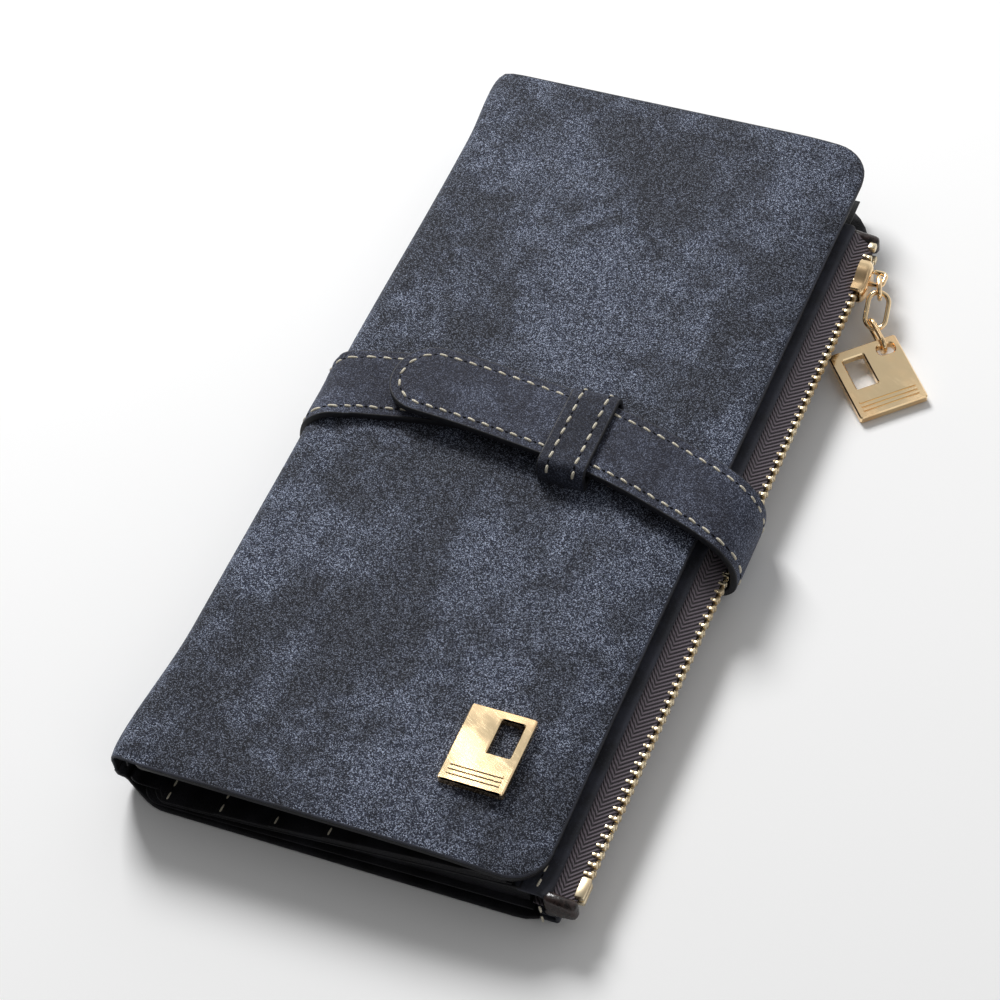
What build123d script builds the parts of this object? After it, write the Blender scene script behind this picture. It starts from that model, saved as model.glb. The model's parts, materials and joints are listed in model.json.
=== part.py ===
"""Long folding wallet with a zipped pocket, a belt strap through a keeper, and a charm pull.

Millimetres. +X runs from the fold (spine) to the zip, +Y from the badge end to the slider
end, +Z up through the front cover. The origin is the centre of the resting face of the back.
"""
from build123d import *
import os
from math import cos, degrees, radians, sin, tan

os.makedirs("parts", exist_ok=True)

# ---- driving dimensions of the leather body ----
HALF_LENGTH = 95.0            # the cover is 190 long
BACK_FAR_Y = 92.0             # the back is a little shorter than the cover at the slider end
COVER_EDGE_X = 43.4           # free edge of the cover
COVER_TOP_Z = 15.0
COVER_FLAT_END_X = 24.0       # the cover droops from here to its free edge
COVER_DROOP_RADIUS = 95.0
LEATHER = 1.0                 # outer leather
BOARD = 0.7                   # card stiffener
LINING = 0.4                  # inner leather and linings
GAP = 0.05                    # air between sheets that lie on each other
COVER_CORNER = 8.0
BACK_NEAR_CORNER = 8.0
BACK_FAR_CORNER = 14.0
HEAD_ROOM = 40.0              # taller than anything, for cutting plans

# ---- fold lines: both hinge axes run along Y ----
FOLD_X = -42.9
LOWER_FOLD_Z = 0.6
UPPER_FOLD_Z = 14.4
FOLD_SETBACK = 0.9            # the flat panels stop this far from a fold line
SPINE_OUTER_X = -43.5

# ---- back layers ----
PAD_TOP_Z = 2.6               # foam between the outer leather and the board
BOARD_Z = PAD_TOP_Z + GAP
FLOOR_Z = BOARD_Z + BOARD + GAP
BACK_LEFT_X = -41.0           # inner layers start here, clear of the spine lining
BACK_EDGE_X = 45.0
BOARD_EDGE_X = 40.2           # board and pocket floor stop short of the lower lip

# ---- zipped pocket ----
POCKET_NEAR_Y = -94.4
POCKET_FAR_Y = 77.0
ROOF_LEFT_X = -38.0
ROOF_LEFT_Z = 4.15
ROOF_RIGHT_X = 38.3
ROOF_SLOPE = 0.0645
ROOF = 0.5
LIP_LEFT_X = 36.5
LIP = 1.0
ZIP_Z = 6.7                   # height of the middle of the zip
LIP_INNER = 2.9               # lips stand this far above and below the zip's middle
LIP_NEAR_CORNER = 2.0
LIP_FAR_CORNER = 4.0
TAPE = 0.5
TAPE_LEFT_X = 39.5
TAPE_BEND_X = 44.8
TAPE_EDGE_X = 47.4
TAPE_EDGE = 0.9               # half-gap between the two tapes at the teeth
TEETH_OUTER_X = 49.2
TOOTH_PITCH = 2.1
TOOTH_WIDTH = 0.95
TOOTH_TALL = 1.7
TOOTH_OVERLAP = 0.4           # how far a tooth reaches past the zip's middle
FIRST_TOOTH_Y = -86.4
LAST_TOOTH_Y = 71.8
TOOTH_PARTING = 0.9           # how far each row stands off beyond the slider
BOTTOM_STOP = (4.2, 3.0)      # length and height
TOP_STOP = (1.6, 1.6, 1.5)
TAB_HALF_HEIGHT = 1.6         # the leather tabs narrow to this at the teeth
TAB = 1.7
GUSSET = 0.8
GUSSET_LEFT_X = -32.0

# ---- card slots ----
LEAF = 0.4
LEAF_RIGHT_X = 35.5
CARD_NEAR_Y = -93.0
CARD_FAR_Y = 89.0
BACK_HEM_X = [-33.0, -22.5, -12.0, -1.5]
COVER_HEM_X = [-6.0, 6.0]
COVER_LEAF_LEFT_X = -38.0
COVER_LEAF_NEAR_Y = 4.0
WINDOW_CENTRE = (-8.0, -46.0)  # identity window on the cover's inside
WINDOW_FRAME = (58.0, 92.0)
WINDOW_OPENING = (42.0, 70.0)
WINDOW_CORNERS = (3.0, 4.0)    # outside and inside
PANE = 0.2
PANE_CLEAR = 0.1

# ---- belt strap ----
STRAP_WIDTH = 17.0
STRAP = 1.5
STRAP_SPINE_Y = 1.0           # strap centre line at the fold and on the cover
STRAP_EDGE_Y = -6.0           # strap centre line at the zip edge
STRAP_OUTER_X = 51.5
STRAP_BEND_X = 43.5           # the strap starts to turn up round the zip edge here
UPPER_BEND = 7.0              # outer radius of the upper turn
UPPER_BEND_X = 44.5
UPPER_BEND_Z = 9.0
LINKS = 3                     # turns in the strap's chain
TURN = 160.0 / LINKS          # degrees each turn straightens when the strap is undone
UNDER_STRAP_Z = 16.2          # underside of the strap's lower layer on the cover
TONGUE_Z = 17.8               # underside of the tongue where it lies flat
TIP_X = -28.5
TIP_Y = 5.0
UNDER_STRAP_END_X = 19.0
UNDER_STRAP_START = (-41.0, 0.7)    # its first X, and how far it starts below its flat run
UNDER_STRAP_SHOULDER_X = -36.0
SPINE_RUN = (2.2, 13.0)       # heights between which the strap lies against the spine
SPINE_RUN_CLEAR = 0.35
BACK_RUN_LEFT_X = -42.5
TONGUE_KNEE_X = 38.0          # the tongue turns from the cover's slope to its own here
TONGUE_RISE = 5.0             # degrees it then climbs towards the keeper
CHANNEL_CLEAR = 0.3
CHANNEL_REACH = 60.0          # the channel's cutter runs past both edges of the back

# ---- keeper loop ----
KEEPER_X = 13.0
KEEPER_Y = 0.8
KEEPER_WIDTH = 10.0
KEEPER_SPAN = 21.4
KEEPER_WALL = 1.1
KEEPER_LOW_Z = 15.05
KEEPER_TOP_Z = 20.5
KEEPER_CORNERS = (1.6, 0.4)   # outside and inside

# ---- badge and charm plates ----
BADGE_X, BADGE_Y = 23.5, -72.3
BADGE_SIZE = (13.0, 17.5)
CHARM_SIZE = (14.7, 16.8)
PLATE = 1.6
WINDOW = (4.6, 7.6)
PLATE_CORNER = 0.6
WINDOW_CORNER = 0.25
PLATE_BEVEL = 0.25
BADGE_WINDOW_SPOT = (2.4, 3.0)
CHARM_WINDOW_SPOT = (-2.8, 2.4)
CHARM_SLOT_SPOT = (4.2, 5.6)
SLOT = (3.6, 2.4)
RULES = (1.7, 2.7, 3.7)        # raised lines across each plate, from its foot
RULE_MARGIN = 1.3             # from the plate's side to a line's end
RULE_WIDTH = 0.45
RULE_RISE = 0.2
PIN_SPOTS = ((-4.0, -1.0), (-4.0, 6.0))      # the badge's pins, from its centre
PIN_RADIUS = 0.7
WASHER_RADIUS = 2.5
WASHER = 0.5

# ---- slider ----
SLIDER_NEAR_Y = 61.5
SLIDER_LENGTH = 8.0
SLIDER_HALF_WIDTHS = (1.6, 2.6)
SLIDER_WALL = 0.7
SLIDER_BACK_X = TAPE_EDGE_X + 0.1
SLIDER_INSIDE_X = TEETH_OUTER_X + 0.3
SLIDER_FACE_X = SLIDER_INSIDE_X + 1.0
SLIDER_INNER_PLATE = (5.6, 1.2, 0.7)    # along Y, Z and X
SLIDER_WEDGE = (1.6, 0.5)               # the post that parts the teeth, along Y and Z
CROWN_WIRE = 0.5
CROWN_BEND = 0.9
CROWN_NEAR_Y = 65.6
CROWN_FAR_Y = 69.0
CROWN_REACH_X = 52.9

# ---- pull: each loop's centre line from end to end, then the charm ----
RING_WIRE = 0.5
BAIL = ((51.75, 67.3, ZIP_Z), (53.4, 62.8, ZIP_Z))
BAIL_WIDTH = 3.4
RING_1 = ((53.15, 64.0, 6.6), (53.86, 57.3, 2.95))
RING_1_WIDTH = 4.2
RING_1_BESIDE = (1, 0.3, -0.15)
RING_2 = ((52.65, 58.75, 2.98), (57.75, 52.95, 2.55))
RING_2_WIDTH = 3.3
CHARM_ALONG = Vector(0.743, 0.669, 0)   # the charm's short side
CHARM_BAR = Vector(56.6, 54.25, 2.6)    # the bar between the ring slot and the edge
BAR_DEPTH = 0.8                         # from the charm's top edge to that bar's middle
CHARM_TILT = 6.2


def save(part, name):
    """Label a finished piece and write it."""
    part.label = name
    export_step(part, f"parts/{name}.step")


def run_along_y(outline, y_near, y_far):
    """A solid with one X-Z outline, running from y_near to y_far."""
    with BuildPart() as piece:
        with BuildSketch(Plane.XZ.offset(-y_far)):
            Polygon(*outline, align=None)
        extrude(amount=y_far - y_near)
    return piece.part


def panel_plan(x_low, x_high, y_low, y_high, near_radius, far_radius):
    """A rectangle in plan with its two free corners rounded."""
    with BuildSketch() as plan:
        Polygon((x_low, y_low), (x_high, y_low), (x_high, y_high), (x_low, y_high), align=None)
        near, far = plan.vertices().group_by(Axis.X)[-1].sort_by(Axis.Y)
        fillet(near, near_radius)
        far = plan.vertices().sort_by_distance((x_high, y_high))[0]
        fillet(far, far_radius)
    return plan.sketch


def strip_plan(x_low, y_low, x_high, y_high, width):
    """A slanted strip in plan between two points of its centre line."""
    half = width / 2
    with BuildSketch() as plan:
        Polygon(
            (x_low, y_low - half), (x_high, y_high - half),
            (x_high, y_high + half), (x_low, y_low + half), align=None,
        )
    return plan.sketch


def flat_panel(plan, z_low, thickness):
    """A flat sheet with the given plan."""
    with BuildPart() as panel:
        with BuildSketch(Plane.XY.offset(z_low)):
            add(plan)
        extrude(amount=thickness)
    return panel.part


# ---------------------------------------------------------------- back of the wallet
def strap_channel(width, z_top):
    """The slanted strip across the back that the strap lies in."""
    near, far = -CHANNEL_REACH, CHANNEL_REACH
    return flat_panel(strip_plan(near, strap_y(near), far, strap_y(far), width), 0, z_top)


def strap_y(x):
    """Centre line of the strap under the back, from the fold to the zip edge."""
    share = (x - FOLD_X) / (STRAP_BEND_X - FOLD_X)
    return STRAP_SPINE_Y + share * (STRAP_EDGE_Y - STRAP_SPINE_Y)


def back_plan(x_high, inset=0.0):
    """Plan of the back, or of a layer that stops short of its edges."""
    return panel_plan(
        BACK_LEFT_X - 1 + inset, x_high, -HALF_LENGTH + inset, BACK_FAR_Y - inset,
        BACK_NEAR_CORNER, BACK_FAR_CORNER,
    )


def make_back_layers():
    """Outer leather pressed up round the strap, foam, board and pocket floor."""
    clear_width = STRAP_WIDTH + 2 * CHANNEL_CLEAR
    sheet = flat_panel(back_plan(BACK_EDGE_X), 0, LEATHER)
    ridge_block = flat_panel(back_plan(BACK_EDGE_X, inset=1), 0, PAD_TOP_Z)
    ridge_strip = strap_channel(clear_width + 2 * LEATHER, PAD_TOP_Z)
    channel = strap_channel(clear_width, PAD_TOP_Z - LEATHER)
    with BuildPart() as ridge:
        add(ridge_block)
        add(ridge_strip, mode=Mode.INTERSECT)
    with BuildPart() as back_leather:
        add(sheet)
        add(ridge.part)
        add(channel, mode=Mode.SUBTRACT)
    save(back_leather.part, "back_leather")

    foam = flat_panel(back_plan(BACK_EDGE_X - 1, inset=1), LEATHER, PAD_TOP_Z - LEATHER)
    with BuildPart() as back_padding:
        add(foam)
        add(ridge_strip, mode=Mode.SUBTRACT)
    save(back_padding.part, "back_padding")

    save(flat_panel(back_plan(BOARD_EDGE_X, inset=1.5), BOARD_Z, BOARD), "back_board")
    save(flat_panel(back_plan(BOARD_EDGE_X, inset=2), FLOOR_Z, LINING), "pocket_floor")


def roof_z(x):
    """Underside of the pocket's sloping roof."""
    return ROOF_LEFT_Z + ROOF_SLOPE * (x - ROOF_LEFT_X)


def sloping_sheet(x_low, x_high, rise, thickness, y_near, y_far):
    """A sheet that lies on the roof, rise above the roof's underside."""
    outline = [
        (x_low, roof_z(x_low) + rise), (x_high, roof_z(x_high) + rise),
        (x_high, roof_z(x_high) + rise + thickness), (x_low, roof_z(x_low) + rise + thickness),
    ]
    return run_along_y(outline, y_near, y_far)


def make_pocket_and_cards():
    """Pocket roof, end gussets, card panel and the stepped card leaves on it."""
    save(sloping_sheet(ROOF_LEFT_X, ROOF_RIGHT_X, 0, ROOF, CARD_NEAR_Y, CARD_FAR_Y), "pocket_roof")
    rise = ROOF + GAP
    panel = sloping_sheet(ROOF_LEFT_X + 1, LEAF_RIGHT_X + 1, rise, LEAF, CARD_NEAR_Y, CARD_FAR_Y)
    save(panel, "card_panel")
    for number, hem_x in enumerate(BACK_HEM_X, start=1):
        rise += LEAF + GAP / 2
        leaf = sloping_sheet(hem_x, LEAF_RIGHT_X, rise, LEAF, CARD_NEAR_Y + 1, CARD_FAR_Y - 1)
        save(leaf, f"back_card_leaf_{number}")

    floor_top = FLOOR_Z + LINING + GAP
    right_x = TAPE_LEFT_X - 0.4
    wedge = [
        (GUSSET_LEFT_X, floor_top), (right_x, floor_top),
        (right_x, roof_z(TAPE_LEFT_X) - GAP), (GUSSET_LEFT_X, roof_z(GUSSET_LEFT_X) - GAP),
    ]
    save(run_along_y(wedge, CARD_NEAR_Y, CARD_NEAR_Y + GUSSET), "pocket_gusset_near")
    save(run_along_y(wedge, POCKET_FAR_Y - GUSSET, POCKET_FAR_Y), "pocket_gusset_far")


# ---------------------------------------------------------------- zip
def mirrored(side, height):
    """Height measured from the zip's middle, up for side 1 and down for side -1."""
    return ZIP_Z + side * height


def make_lips_and_tapes():
    """The two leather lips and the two zip tapes, alike above and below the zip."""
    for side, word in ((1, "upper"), (-1, "lower")):
        left_x = LIP_LEFT_X if side > 0 else TAPE_LEFT_X + 1
        inner, outer = mirrored(side, LIP_INNER), mirrored(side, LIP_INNER + LIP)
        lip = [(left_x, inner), (BACK_EDGE_X, inner), (BACK_EDGE_X, outer), (left_x, outer)]
        bar = run_along_y(lip, POCKET_NEAR_Y, POCKET_FAR_Y)
        plan = panel_plan(
            LIP_LEFT_X, BACK_EDGE_X, POCKET_NEAR_Y, POCKET_FAR_Y, LIP_NEAR_CORNER, LIP_FAR_CORNER
        )
        with BuildPart() as pocket_lip:
            add(bar)
            extrude(plan, amount=HEAD_ROOM, mode=Mode.INTERSECT)
        save(pocket_lip.part, f"{word}_lip")

        tape = [
            (TAPE_LEFT_X, mirrored(side, LIP_INNER)),
            (TAPE_BEND_X, mirrored(side, LIP_INNER)),
            (TAPE_EDGE_X, mirrored(side, TAPE_EDGE + TAPE)),
            (TAPE_EDGE_X, mirrored(side, TAPE_EDGE)),
            (TAPE_BEND_X - 0.2, mirrored(side, LIP_INNER - TAPE)),
            (TAPE_LEFT_X, mirrored(side, LIP_INNER - TAPE)),
        ]
        save(run_along_y(tape, POCKET_NEAR_Y + 1.4, POCKET_FAR_Y - 1), f"zip_tape_{word}")


def tooth_spread(y):
    """How far the teeth have parted at y, from none at the slider to full beyond it."""
    start = SLIDER_NEAR_Y + 2.5
    full = SLIDER_NEAR_Y + 5.5
    return TOOTH_PARTING * min(max((y - start) / (full - start), 0), 1)


def make_teeth():
    """Two rows of metal teeth, half a pitch apart, meshed up to the slider."""
    count = int((LAST_TOOTH_Y - FIRST_TOOTH_Y) / TOOTH_PITCH) + 1
    depth = TEETH_OUTER_X - TAPE_EDGE_X
    middle_x = TAPE_EDGE_X + depth / 2
    for side, word in ((1, "upper"), (-1, "lower")):
        offset = 0 if side > 0 else TOOTH_PITCH / 2
        rows = [FIRST_TOOTH_Y + offset + index * TOOTH_PITCH for index in range(count)]
        height = TOOTH_TALL / 2 - TOOTH_OVERLAP
        spots = [(middle_x, y, mirrored(side, height + tooth_spread(y))) for y in rows]
        with BuildPart() as teeth:
            with Locations(*spots):
                Box(depth, TOOTH_WIDTH, TOOTH_TALL)
        save(teeth.part, f"zip_teeth_{word}")


def make_zip_ends():
    """Bottom stop, top stops and the leather tabs that close the zip's two ends."""
    depth = TEETH_OUTER_X - TAPE_EDGE_X
    with BuildPart() as bottom_stop:
        with Locations((TAPE_EDGE_X + depth / 2 + GAP, FIRST_TOOTH_Y - 3.2, ZIP_Z)):
            Box(depth, *BOTTOM_STOP)
        fillet(bottom_stop.edges().filter_by(Axis.Y), 0.5)
    save(bottom_stop.part, "zip_bottom_stop")

    with BuildPart() as top_stops:
        stop_z = TAPE_EDGE + 1.0
        spots = [(TAPE_EDGE_X + 0.9, LAST_TOOTH_Y + 1.9, mirrored(side, stop_z)) for side in (1, -1)]
        with Locations(*spots):
            Box(*TOP_STOP)
    save(top_stops.part, "zip_top_stops")

    left_x, right_x = TAPE_LEFT_X + 3, TAPE_EDGE_X + 0.6
    closing = [
        (left_x, mirrored(-1, LIP_INNER - GAP)), (right_x, mirrored(-1, TAB_HALF_HEIGHT)),
        (right_x + 0.6, ZIP_Z), (right_x, mirrored(1, TAB_HALF_HEIGHT)),
        (left_x, mirrored(1, LIP_INNER - GAP)),
    ]
    near = POCKET_NEAR_Y - 0.4
    save(run_along_y(closing, near, near + TAB), "zip_tab_near")
    save(run_along_y(closing, POCKET_FAR_Y - TAB / 2, POCKET_FAR_Y), "zip_tab_far")


# ---------------------------------------------------------------- spine and cover
def make_spine():
    """Outer leather, bulging outwards, and lining of the fold."""
    low, high = LOWER_FOLD_Z + FOLD_SETBACK, UPPER_FOLD_Z - FOLD_SETBACK
    middle = (low + high) / 2
    with BuildPart() as spine_leather:
        with BuildSketch(Plane.XZ.offset(-BACK_FAR_Y - 1)):
            with BuildLine():
                outer = ThreePointArc(
                    (FOLD_X - 0.1, low), (SPINE_OUTER_X, middle), (FOLD_X - 0.1, high)
                )
                inner = ThreePointArc(
                    (FOLD_X + 0.6, low), (SPINE_OUTER_X + LEATHER, middle), (FOLD_X + 0.6, high)
                )
                Line(outer @ 0, inner @ 0)
                Line(outer @ 1, inner @ 1)
            make_face()
        extrude(amount=BACK_FAR_Y + 1 + HALF_LENGTH)
    save(spine_leather.part, "spine_leather")

    lining_x = FOLD_X + 0.65
    lining = [
        (lining_x, low), (lining_x + LINING, low), (lining_x + LINING, high - 1), (lining_x, high - 1),
    ]
    save(run_along_y(lining, -HALF_LENGTH + 1, BACK_FAR_Y - 1), "spine_lining")


def cover_sheet(x_low, x_high, depth, thickness, inset):
    """A cover layer, depth below the outer face, flat and then drooping to the free edge."""
    radius = COVER_DROOP_RADIUS - depth
    z_high = COVER_TOP_Z - depth
    reach = x_high - COVER_FLAT_END_X
    angle = degrees(reach / radius)
    edge = HALF_LENGTH - inset
    corner = COVER_CORNER - inset
    plan = panel_plan(x_low - 1, x_high, -edge, edge, corner, corner)
    with BuildPart() as sheet:
        with BuildSketch(Plane.XZ.offset(-edge)):
            with BuildLine():
                top = Line((x_low, z_high), (COVER_FLAT_END_X, z_high))
                droop = JernArc(start=top @ 1, tangent=(1, 0), radius=radius, arc_size=-angle)
                under = Line((x_low, z_high - thickness), (COVER_FLAT_END_X, z_high - thickness))
                under_droop = JernArc(
                    start=under @ 1, tangent=(1, 0), radius=radius - thickness, arc_size=-angle
                )
                Line(top @ 0, under @ 0)
                Line(droop @ 1, under_droop @ 1)
            make_face()
        extrude(amount=2 * edge)
        extrude(plan, amount=HEAD_ROOM, mode=Mode.INTERSECT)
    return sheet.part


def make_cover():
    """Outer leather, board, lining, two card leaves and the identity window."""
    start = FOLD_X + FOLD_SETBACK
    leather = cover_sheet(start, COVER_EDGE_X, 0, LEATHER, 0)
    save(pierced(leather, PIN_RADIUS + GAP), "cover_leather")
    board = cover_sheet(start + 1, COVER_EDGE_X - 3, LEATHER + GAP, BOARD, 2)
    save(pierced(board, WASHER_RADIUS + GAP), "cover_board")
    lining_depth = LEATHER + BOARD + 2 * GAP
    save(cover_sheet(start + 0.7, COVER_EDGE_X - 0.6, lining_depth, LINING, 0.6), "cover_lining")

    top = COVER_TOP_Z - lining_depth - LINING - GAP
    for number, hem_x in enumerate(COVER_HEM_X, start=1):
        z_low = top - number * (LEAF + GAP)
        outline = [
            (COVER_LEAF_LEFT_X, z_low), (hem_x, z_low),
            (hem_x, z_low + LEAF), (COVER_LEAF_LEFT_X, z_low + LEAF),
        ]
        leaf = run_along_y(outline, COVER_LEAF_NEAR_Y, HALF_LENGTH - 3)
        save(leaf, f"cover_card_leaf_{number}")

    make_window(top)


def pierced(sheet, radius):
    """A cover layer with holes under the badge's pins."""
    with BuildPart() as piece:
        add(sheet)
        with BuildSketch(Plane((BADGE_X, BADGE_Y, COVER_TOP_Z))):
            with Locations(*PIN_SPOTS):
                Circle(radius)
        extrude(amount=-LEATHER - BOARD - 2 * GAP, mode=Mode.SUBTRACT)
    return piece.part


def make_window(top):
    """A leather frame round a clear pane, on the badge half of the cover's inside."""
    outer_corner, inner_corner = WINDOW_CORNERS
    wide, tall = WINDOW_OPENING
    with BuildPart() as window_frame:
        with BuildSketch(Plane.XY.offset(top - LEAF)):
            with Locations(WINDOW_CENTRE):
                RectangleRounded(*WINDOW_FRAME, outer_corner)
                RectangleRounded(wide, tall, inner_corner, mode=Mode.SUBTRACT)
        extrude(amount=LEAF)
    save(window_frame.part, "window_frame")
    with BuildPart() as window_pane:
        with BuildSketch(Plane.XY.offset(top - LEAF + PANE_CLEAR)):
            with Locations(WINDOW_CENTRE):
                RectangleRounded(wide - 2 * PANE_CLEAR, tall - 2 * PANE_CLEAR, inner_corner)
        extrude(amount=PANE)
    save(window_pane.part, "window_pane")


# ---------------------------------------------------------------- strap
def bend_point(centre, radius, heading):
    """A point and direction on a turn about centre, where the strap heads at an angle."""
    angle = radians(heading)
    point = Vector(centre[0] + radius * sin(angle), centre[1] - radius * cos(angle))
    return point, Vector(cos(angle), sin(angle))


def crossing(first, second):
    """Where two lines, each a point and a direction, cross."""
    (p, d), (q, e) = first, second
    reach = ((q.X - p.X) * e.Y - (q.Y - p.Y) * e.X) / (d.X * e.Y - d.Y * e.X)
    return p + d * reach


def strap_turns():
    """The chain's hinge points: corners of a polygon that hugs the strap's two bends."""
    half = STRAP / 2
    lower_radius = STRAP_OUTER_X - STRAP_BEND_X
    lower_centre = (STRAP_BEND_X, lower_radius)
    upper_centre = (UPPER_BEND_X, UPPER_BEND_Z)
    sides = []
    for number in range(LINKS + 1):
        heading = TURN * number
        if heading < 90:
            sides.append(bend_point(lower_centre, lower_radius - half, heading))
        else:
            sides.append(bend_point(upper_centre, UPPER_BEND - half, heading))
    return [crossing(sides[k], sides[k + 1]) for k in range(LINKS)]


def mitre(point, before, after, side):
    """The corner of a strap outline beside a turn, between two headings in degrees."""
    middle = radians((before + after) / 2)
    reach = side * STRAP / 2 / cos(radians((after - before) / 2))
    return point.X - sin(middle) * reach, point.Y + cos(middle) * reach


def make_strap_links(turns):
    """The strap's short links round the zip edge, cut to meet at each turn."""
    for number in range(1, LINKS):
        before, heading, after = TURN * (number - 1), TURN * number, TURN * (number + 1)
        forward = Vector(cos(radians(heading)), sin(radians(heading))) * GAP
        start, end = turns[number - 1] + forward, turns[number] - forward
        outline = [
            mitre(start, before, heading, -1), mitre(end, heading, after, -1),
            mitre(end, heading, after, 1), mitre(start, before, heading, 1),
        ]
        link = run_along_y(outline, STRAP_EDGE_Y - STRAP_WIDTH / 2, STRAP_EDGE_Y + STRAP_WIDTH / 2)
        save(link, f"strap_link_{number}")


def make_tongue(turns):
    """The strap's free end: down from the last turn, through the keeper, to a round tip."""
    heading = TURN * LINKS
    forward = Vector(cos(radians(heading)), sin(radians(heading)))
    start = turns[-1] + forward * GAP
    middle_z = TONGUE_Z + STRAP / 2
    drop = (start.X - TONGUE_KNEE_X) * tan(radians(180 - heading))
    knee = Vector(TONGUE_KNEE_X, start.Y + drop)
    bend = Vector(knee.X - (middle_z - knee.Y) / tan(radians(TONGUE_RISE)), middle_z)
    climbing = 180 - TONGUE_RISE
    upper = [
        mitre(start, heading - TURN, heading, -1), mitre(knee, heading, climbing, -1),
        mitre(bend, climbing, 180, -1), (TIP_X, TONGUE_Z + STRAP),
    ]
    lower = [
        (TIP_X, TONGUE_Z), mitre(bend, climbing, 180, 1),
        mitre(knee, heading, climbing, 1), mitre(start, heading - TURN, heading, 1),
    ]
    half = STRAP_WIDTH / 2
    bar = run_along_y(upper + lower, -HEAD_ROOM, HEAD_ROOM)
    with BuildPart() as strap_tongue:
        add(bar)
        with BuildSketch():
            with BuildLine():
                near = Polyline(
                    (STRAP_OUTER_X, STRAP_EDGE_Y - half), (KEEPER_X, KEEPER_Y - half),
                    (TIP_X + half, TIP_Y - half),
                )
                tip = ThreePointArc(near @ 1, (TIP_X, TIP_Y), (TIP_X + half, TIP_Y + half))
                far = Polyline(
                    tip @ 1, (KEEPER_X, KEEPER_Y + half), (STRAP_OUTER_X, STRAP_EDGE_Y + half)
                )
                Line(far @ 1, near @ 0)
            make_face()
        extrude(amount=HEAD_ROOM, mode=Mode.INTERSECT)
    save(strap_tongue.part, "strap_tongue")


def make_fixed_strap(turns):
    """The strap where it is sewn on: across the back, up the spine and over the cover."""
    end_x = turns[0].X - STRAP / 2 * tan(radians(TURN / 2)) - GAP
    left_x = BACK_RUN_LEFT_X
    plan = strip_plan(left_x, strap_y(left_x), end_x, strap_y(end_x), STRAP_WIDTH)
    save(flat_panel(plan, 0, STRAP), "strap_back_run")

    near, far = STRAP_SPINE_Y - STRAP_WIDTH / 2, STRAP_SPINE_Y + STRAP_WIDTH / 2
    inner_x = SPINE_OUTER_X - SPINE_RUN_CLEAR
    outer_x = inner_x - STRAP
    low, high = SPINE_RUN
    spine_run = [(inner_x, low), (inner_x, high), (outer_x, high), (outer_x, low)]
    save(run_along_y(spine_run, near, far), "strap_spine_run")

    shoulder_x = UNDER_STRAP_SHOULDER_X
    start_x, start_drop = UNDER_STRAP_START
    cover_run = [
        (start_x, UNDER_STRAP_Z - start_drop), (shoulder_x, UNDER_STRAP_Z),
        (UNDER_STRAP_END_X, UNDER_STRAP_Z), (UNDER_STRAP_END_X, UNDER_STRAP_Z + STRAP),
        (shoulder_x, UNDER_STRAP_Z + STRAP), (start_x, UNDER_STRAP_Z + STRAP - start_drop),
    ]
    save(run_along_y(cover_run, near, far), "strap_cover_run")


def make_keeper():
    """A flat leather loop round the two layers of strap, its lower side on the cover."""
    tall = KEEPER_TOP_Z - KEEPER_LOW_Z
    outer_corner, inner_corner = KEEPER_CORNERS
    with BuildPart() as keeper:
        plane = Plane.YZ.offset(KEEPER_X - KEEPER_WIDTH / 2)
        with BuildSketch(plane):
            with Locations((KEEPER_Y, KEEPER_LOW_Z + tall / 2)):
                RectangleRounded(KEEPER_SPAN, tall, outer_corner)
                inside = (KEEPER_SPAN - 2 * KEEPER_WALL, tall - 2 * KEEPER_WALL)
                RectangleRounded(*inside, inner_corner, mode=Mode.SUBTRACT)
        extrude(amount=KEEPER_WIDTH)
    save(keeper.part, "keeper")


# ---------------------------------------------------------------- metal trim
def plate(plane, size, window_spot, slot_spot=None):
    """A bevelled metal plate with a window, a ruled foot and perhaps a ring slot."""
    wide, tall = size
    with BuildPart() as piece:
        with BuildSketch(plane):
            RectangleRounded(wide, tall, PLATE_CORNER)
            with Locations(window_spot):
                RectangleRounded(*WINDOW, WINDOW_CORNER, mode=Mode.SUBTRACT)
            if slot_spot:
                with Locations(slot_spot):
                    RectangleRounded(*SLOT, CROWN_BEND, mode=Mode.SUBTRACT)
        extrude(amount=PLATE)
        rim = piece.faces().sort_by(Axis(plane.origin, plane.z_dir))[-1].edges()
        chamfer(rim, PLATE_BEVEL)
        with BuildSketch(plane.offset(PLATE)):
            with Locations(*[(0, foot - tall / 2) for foot in RULES]):
                Rectangle(wide - 2 * RULE_MARGIN, RULE_WIDTH)
        extrude(amount=RULE_RISE)
    return piece.part


def make_badge():
    """The badge plate on the cover, and the washers its two pins are spread over."""
    plane = Plane(origin=(BADGE_X, BADGE_Y, COVER_TOP_Z))
    top = plate(plane, BADGE_SIZE, BADGE_WINDOW_SPOT)
    with BuildPart() as badge_plate:
        add(top)
        with BuildSketch(plane):
            with Locations(*PIN_SPOTS):
                Circle(PIN_RADIUS)
        extrude(amount=-LEATHER - BOARD)
    save(badge_plate.part, "badge_plate")
    with BuildPart() as badge_washers:
        with BuildSketch(plane.offset(-LEATHER - GAP)):
            with Locations(*PIN_SPOTS):
                Circle(WASHER_RADIUS)
                Circle(PIN_RADIUS + GAP, mode=Mode.SUBTRACT)
        extrude(amount=-WASHER)
    save(badge_washers.part, "badge_washers")


def ring_path(plane, long_side, short_side):
    """The centre line of an oval ring, long side along the plane's X."""
    radius = short_side / 2
    half = (long_side - short_side) / 2
    with BuildLine(plane) as path:
        Line((-half, -radius), (half, -radius))
        ThreePointArc((half, -radius), (half + radius, 0), (half, radius))
        Line((half, radius), (-half, radius))
        ThreePointArc((-half, radius), (-half - radius, 0), (-half, -radius))
    return path.wires()[0]


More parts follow.
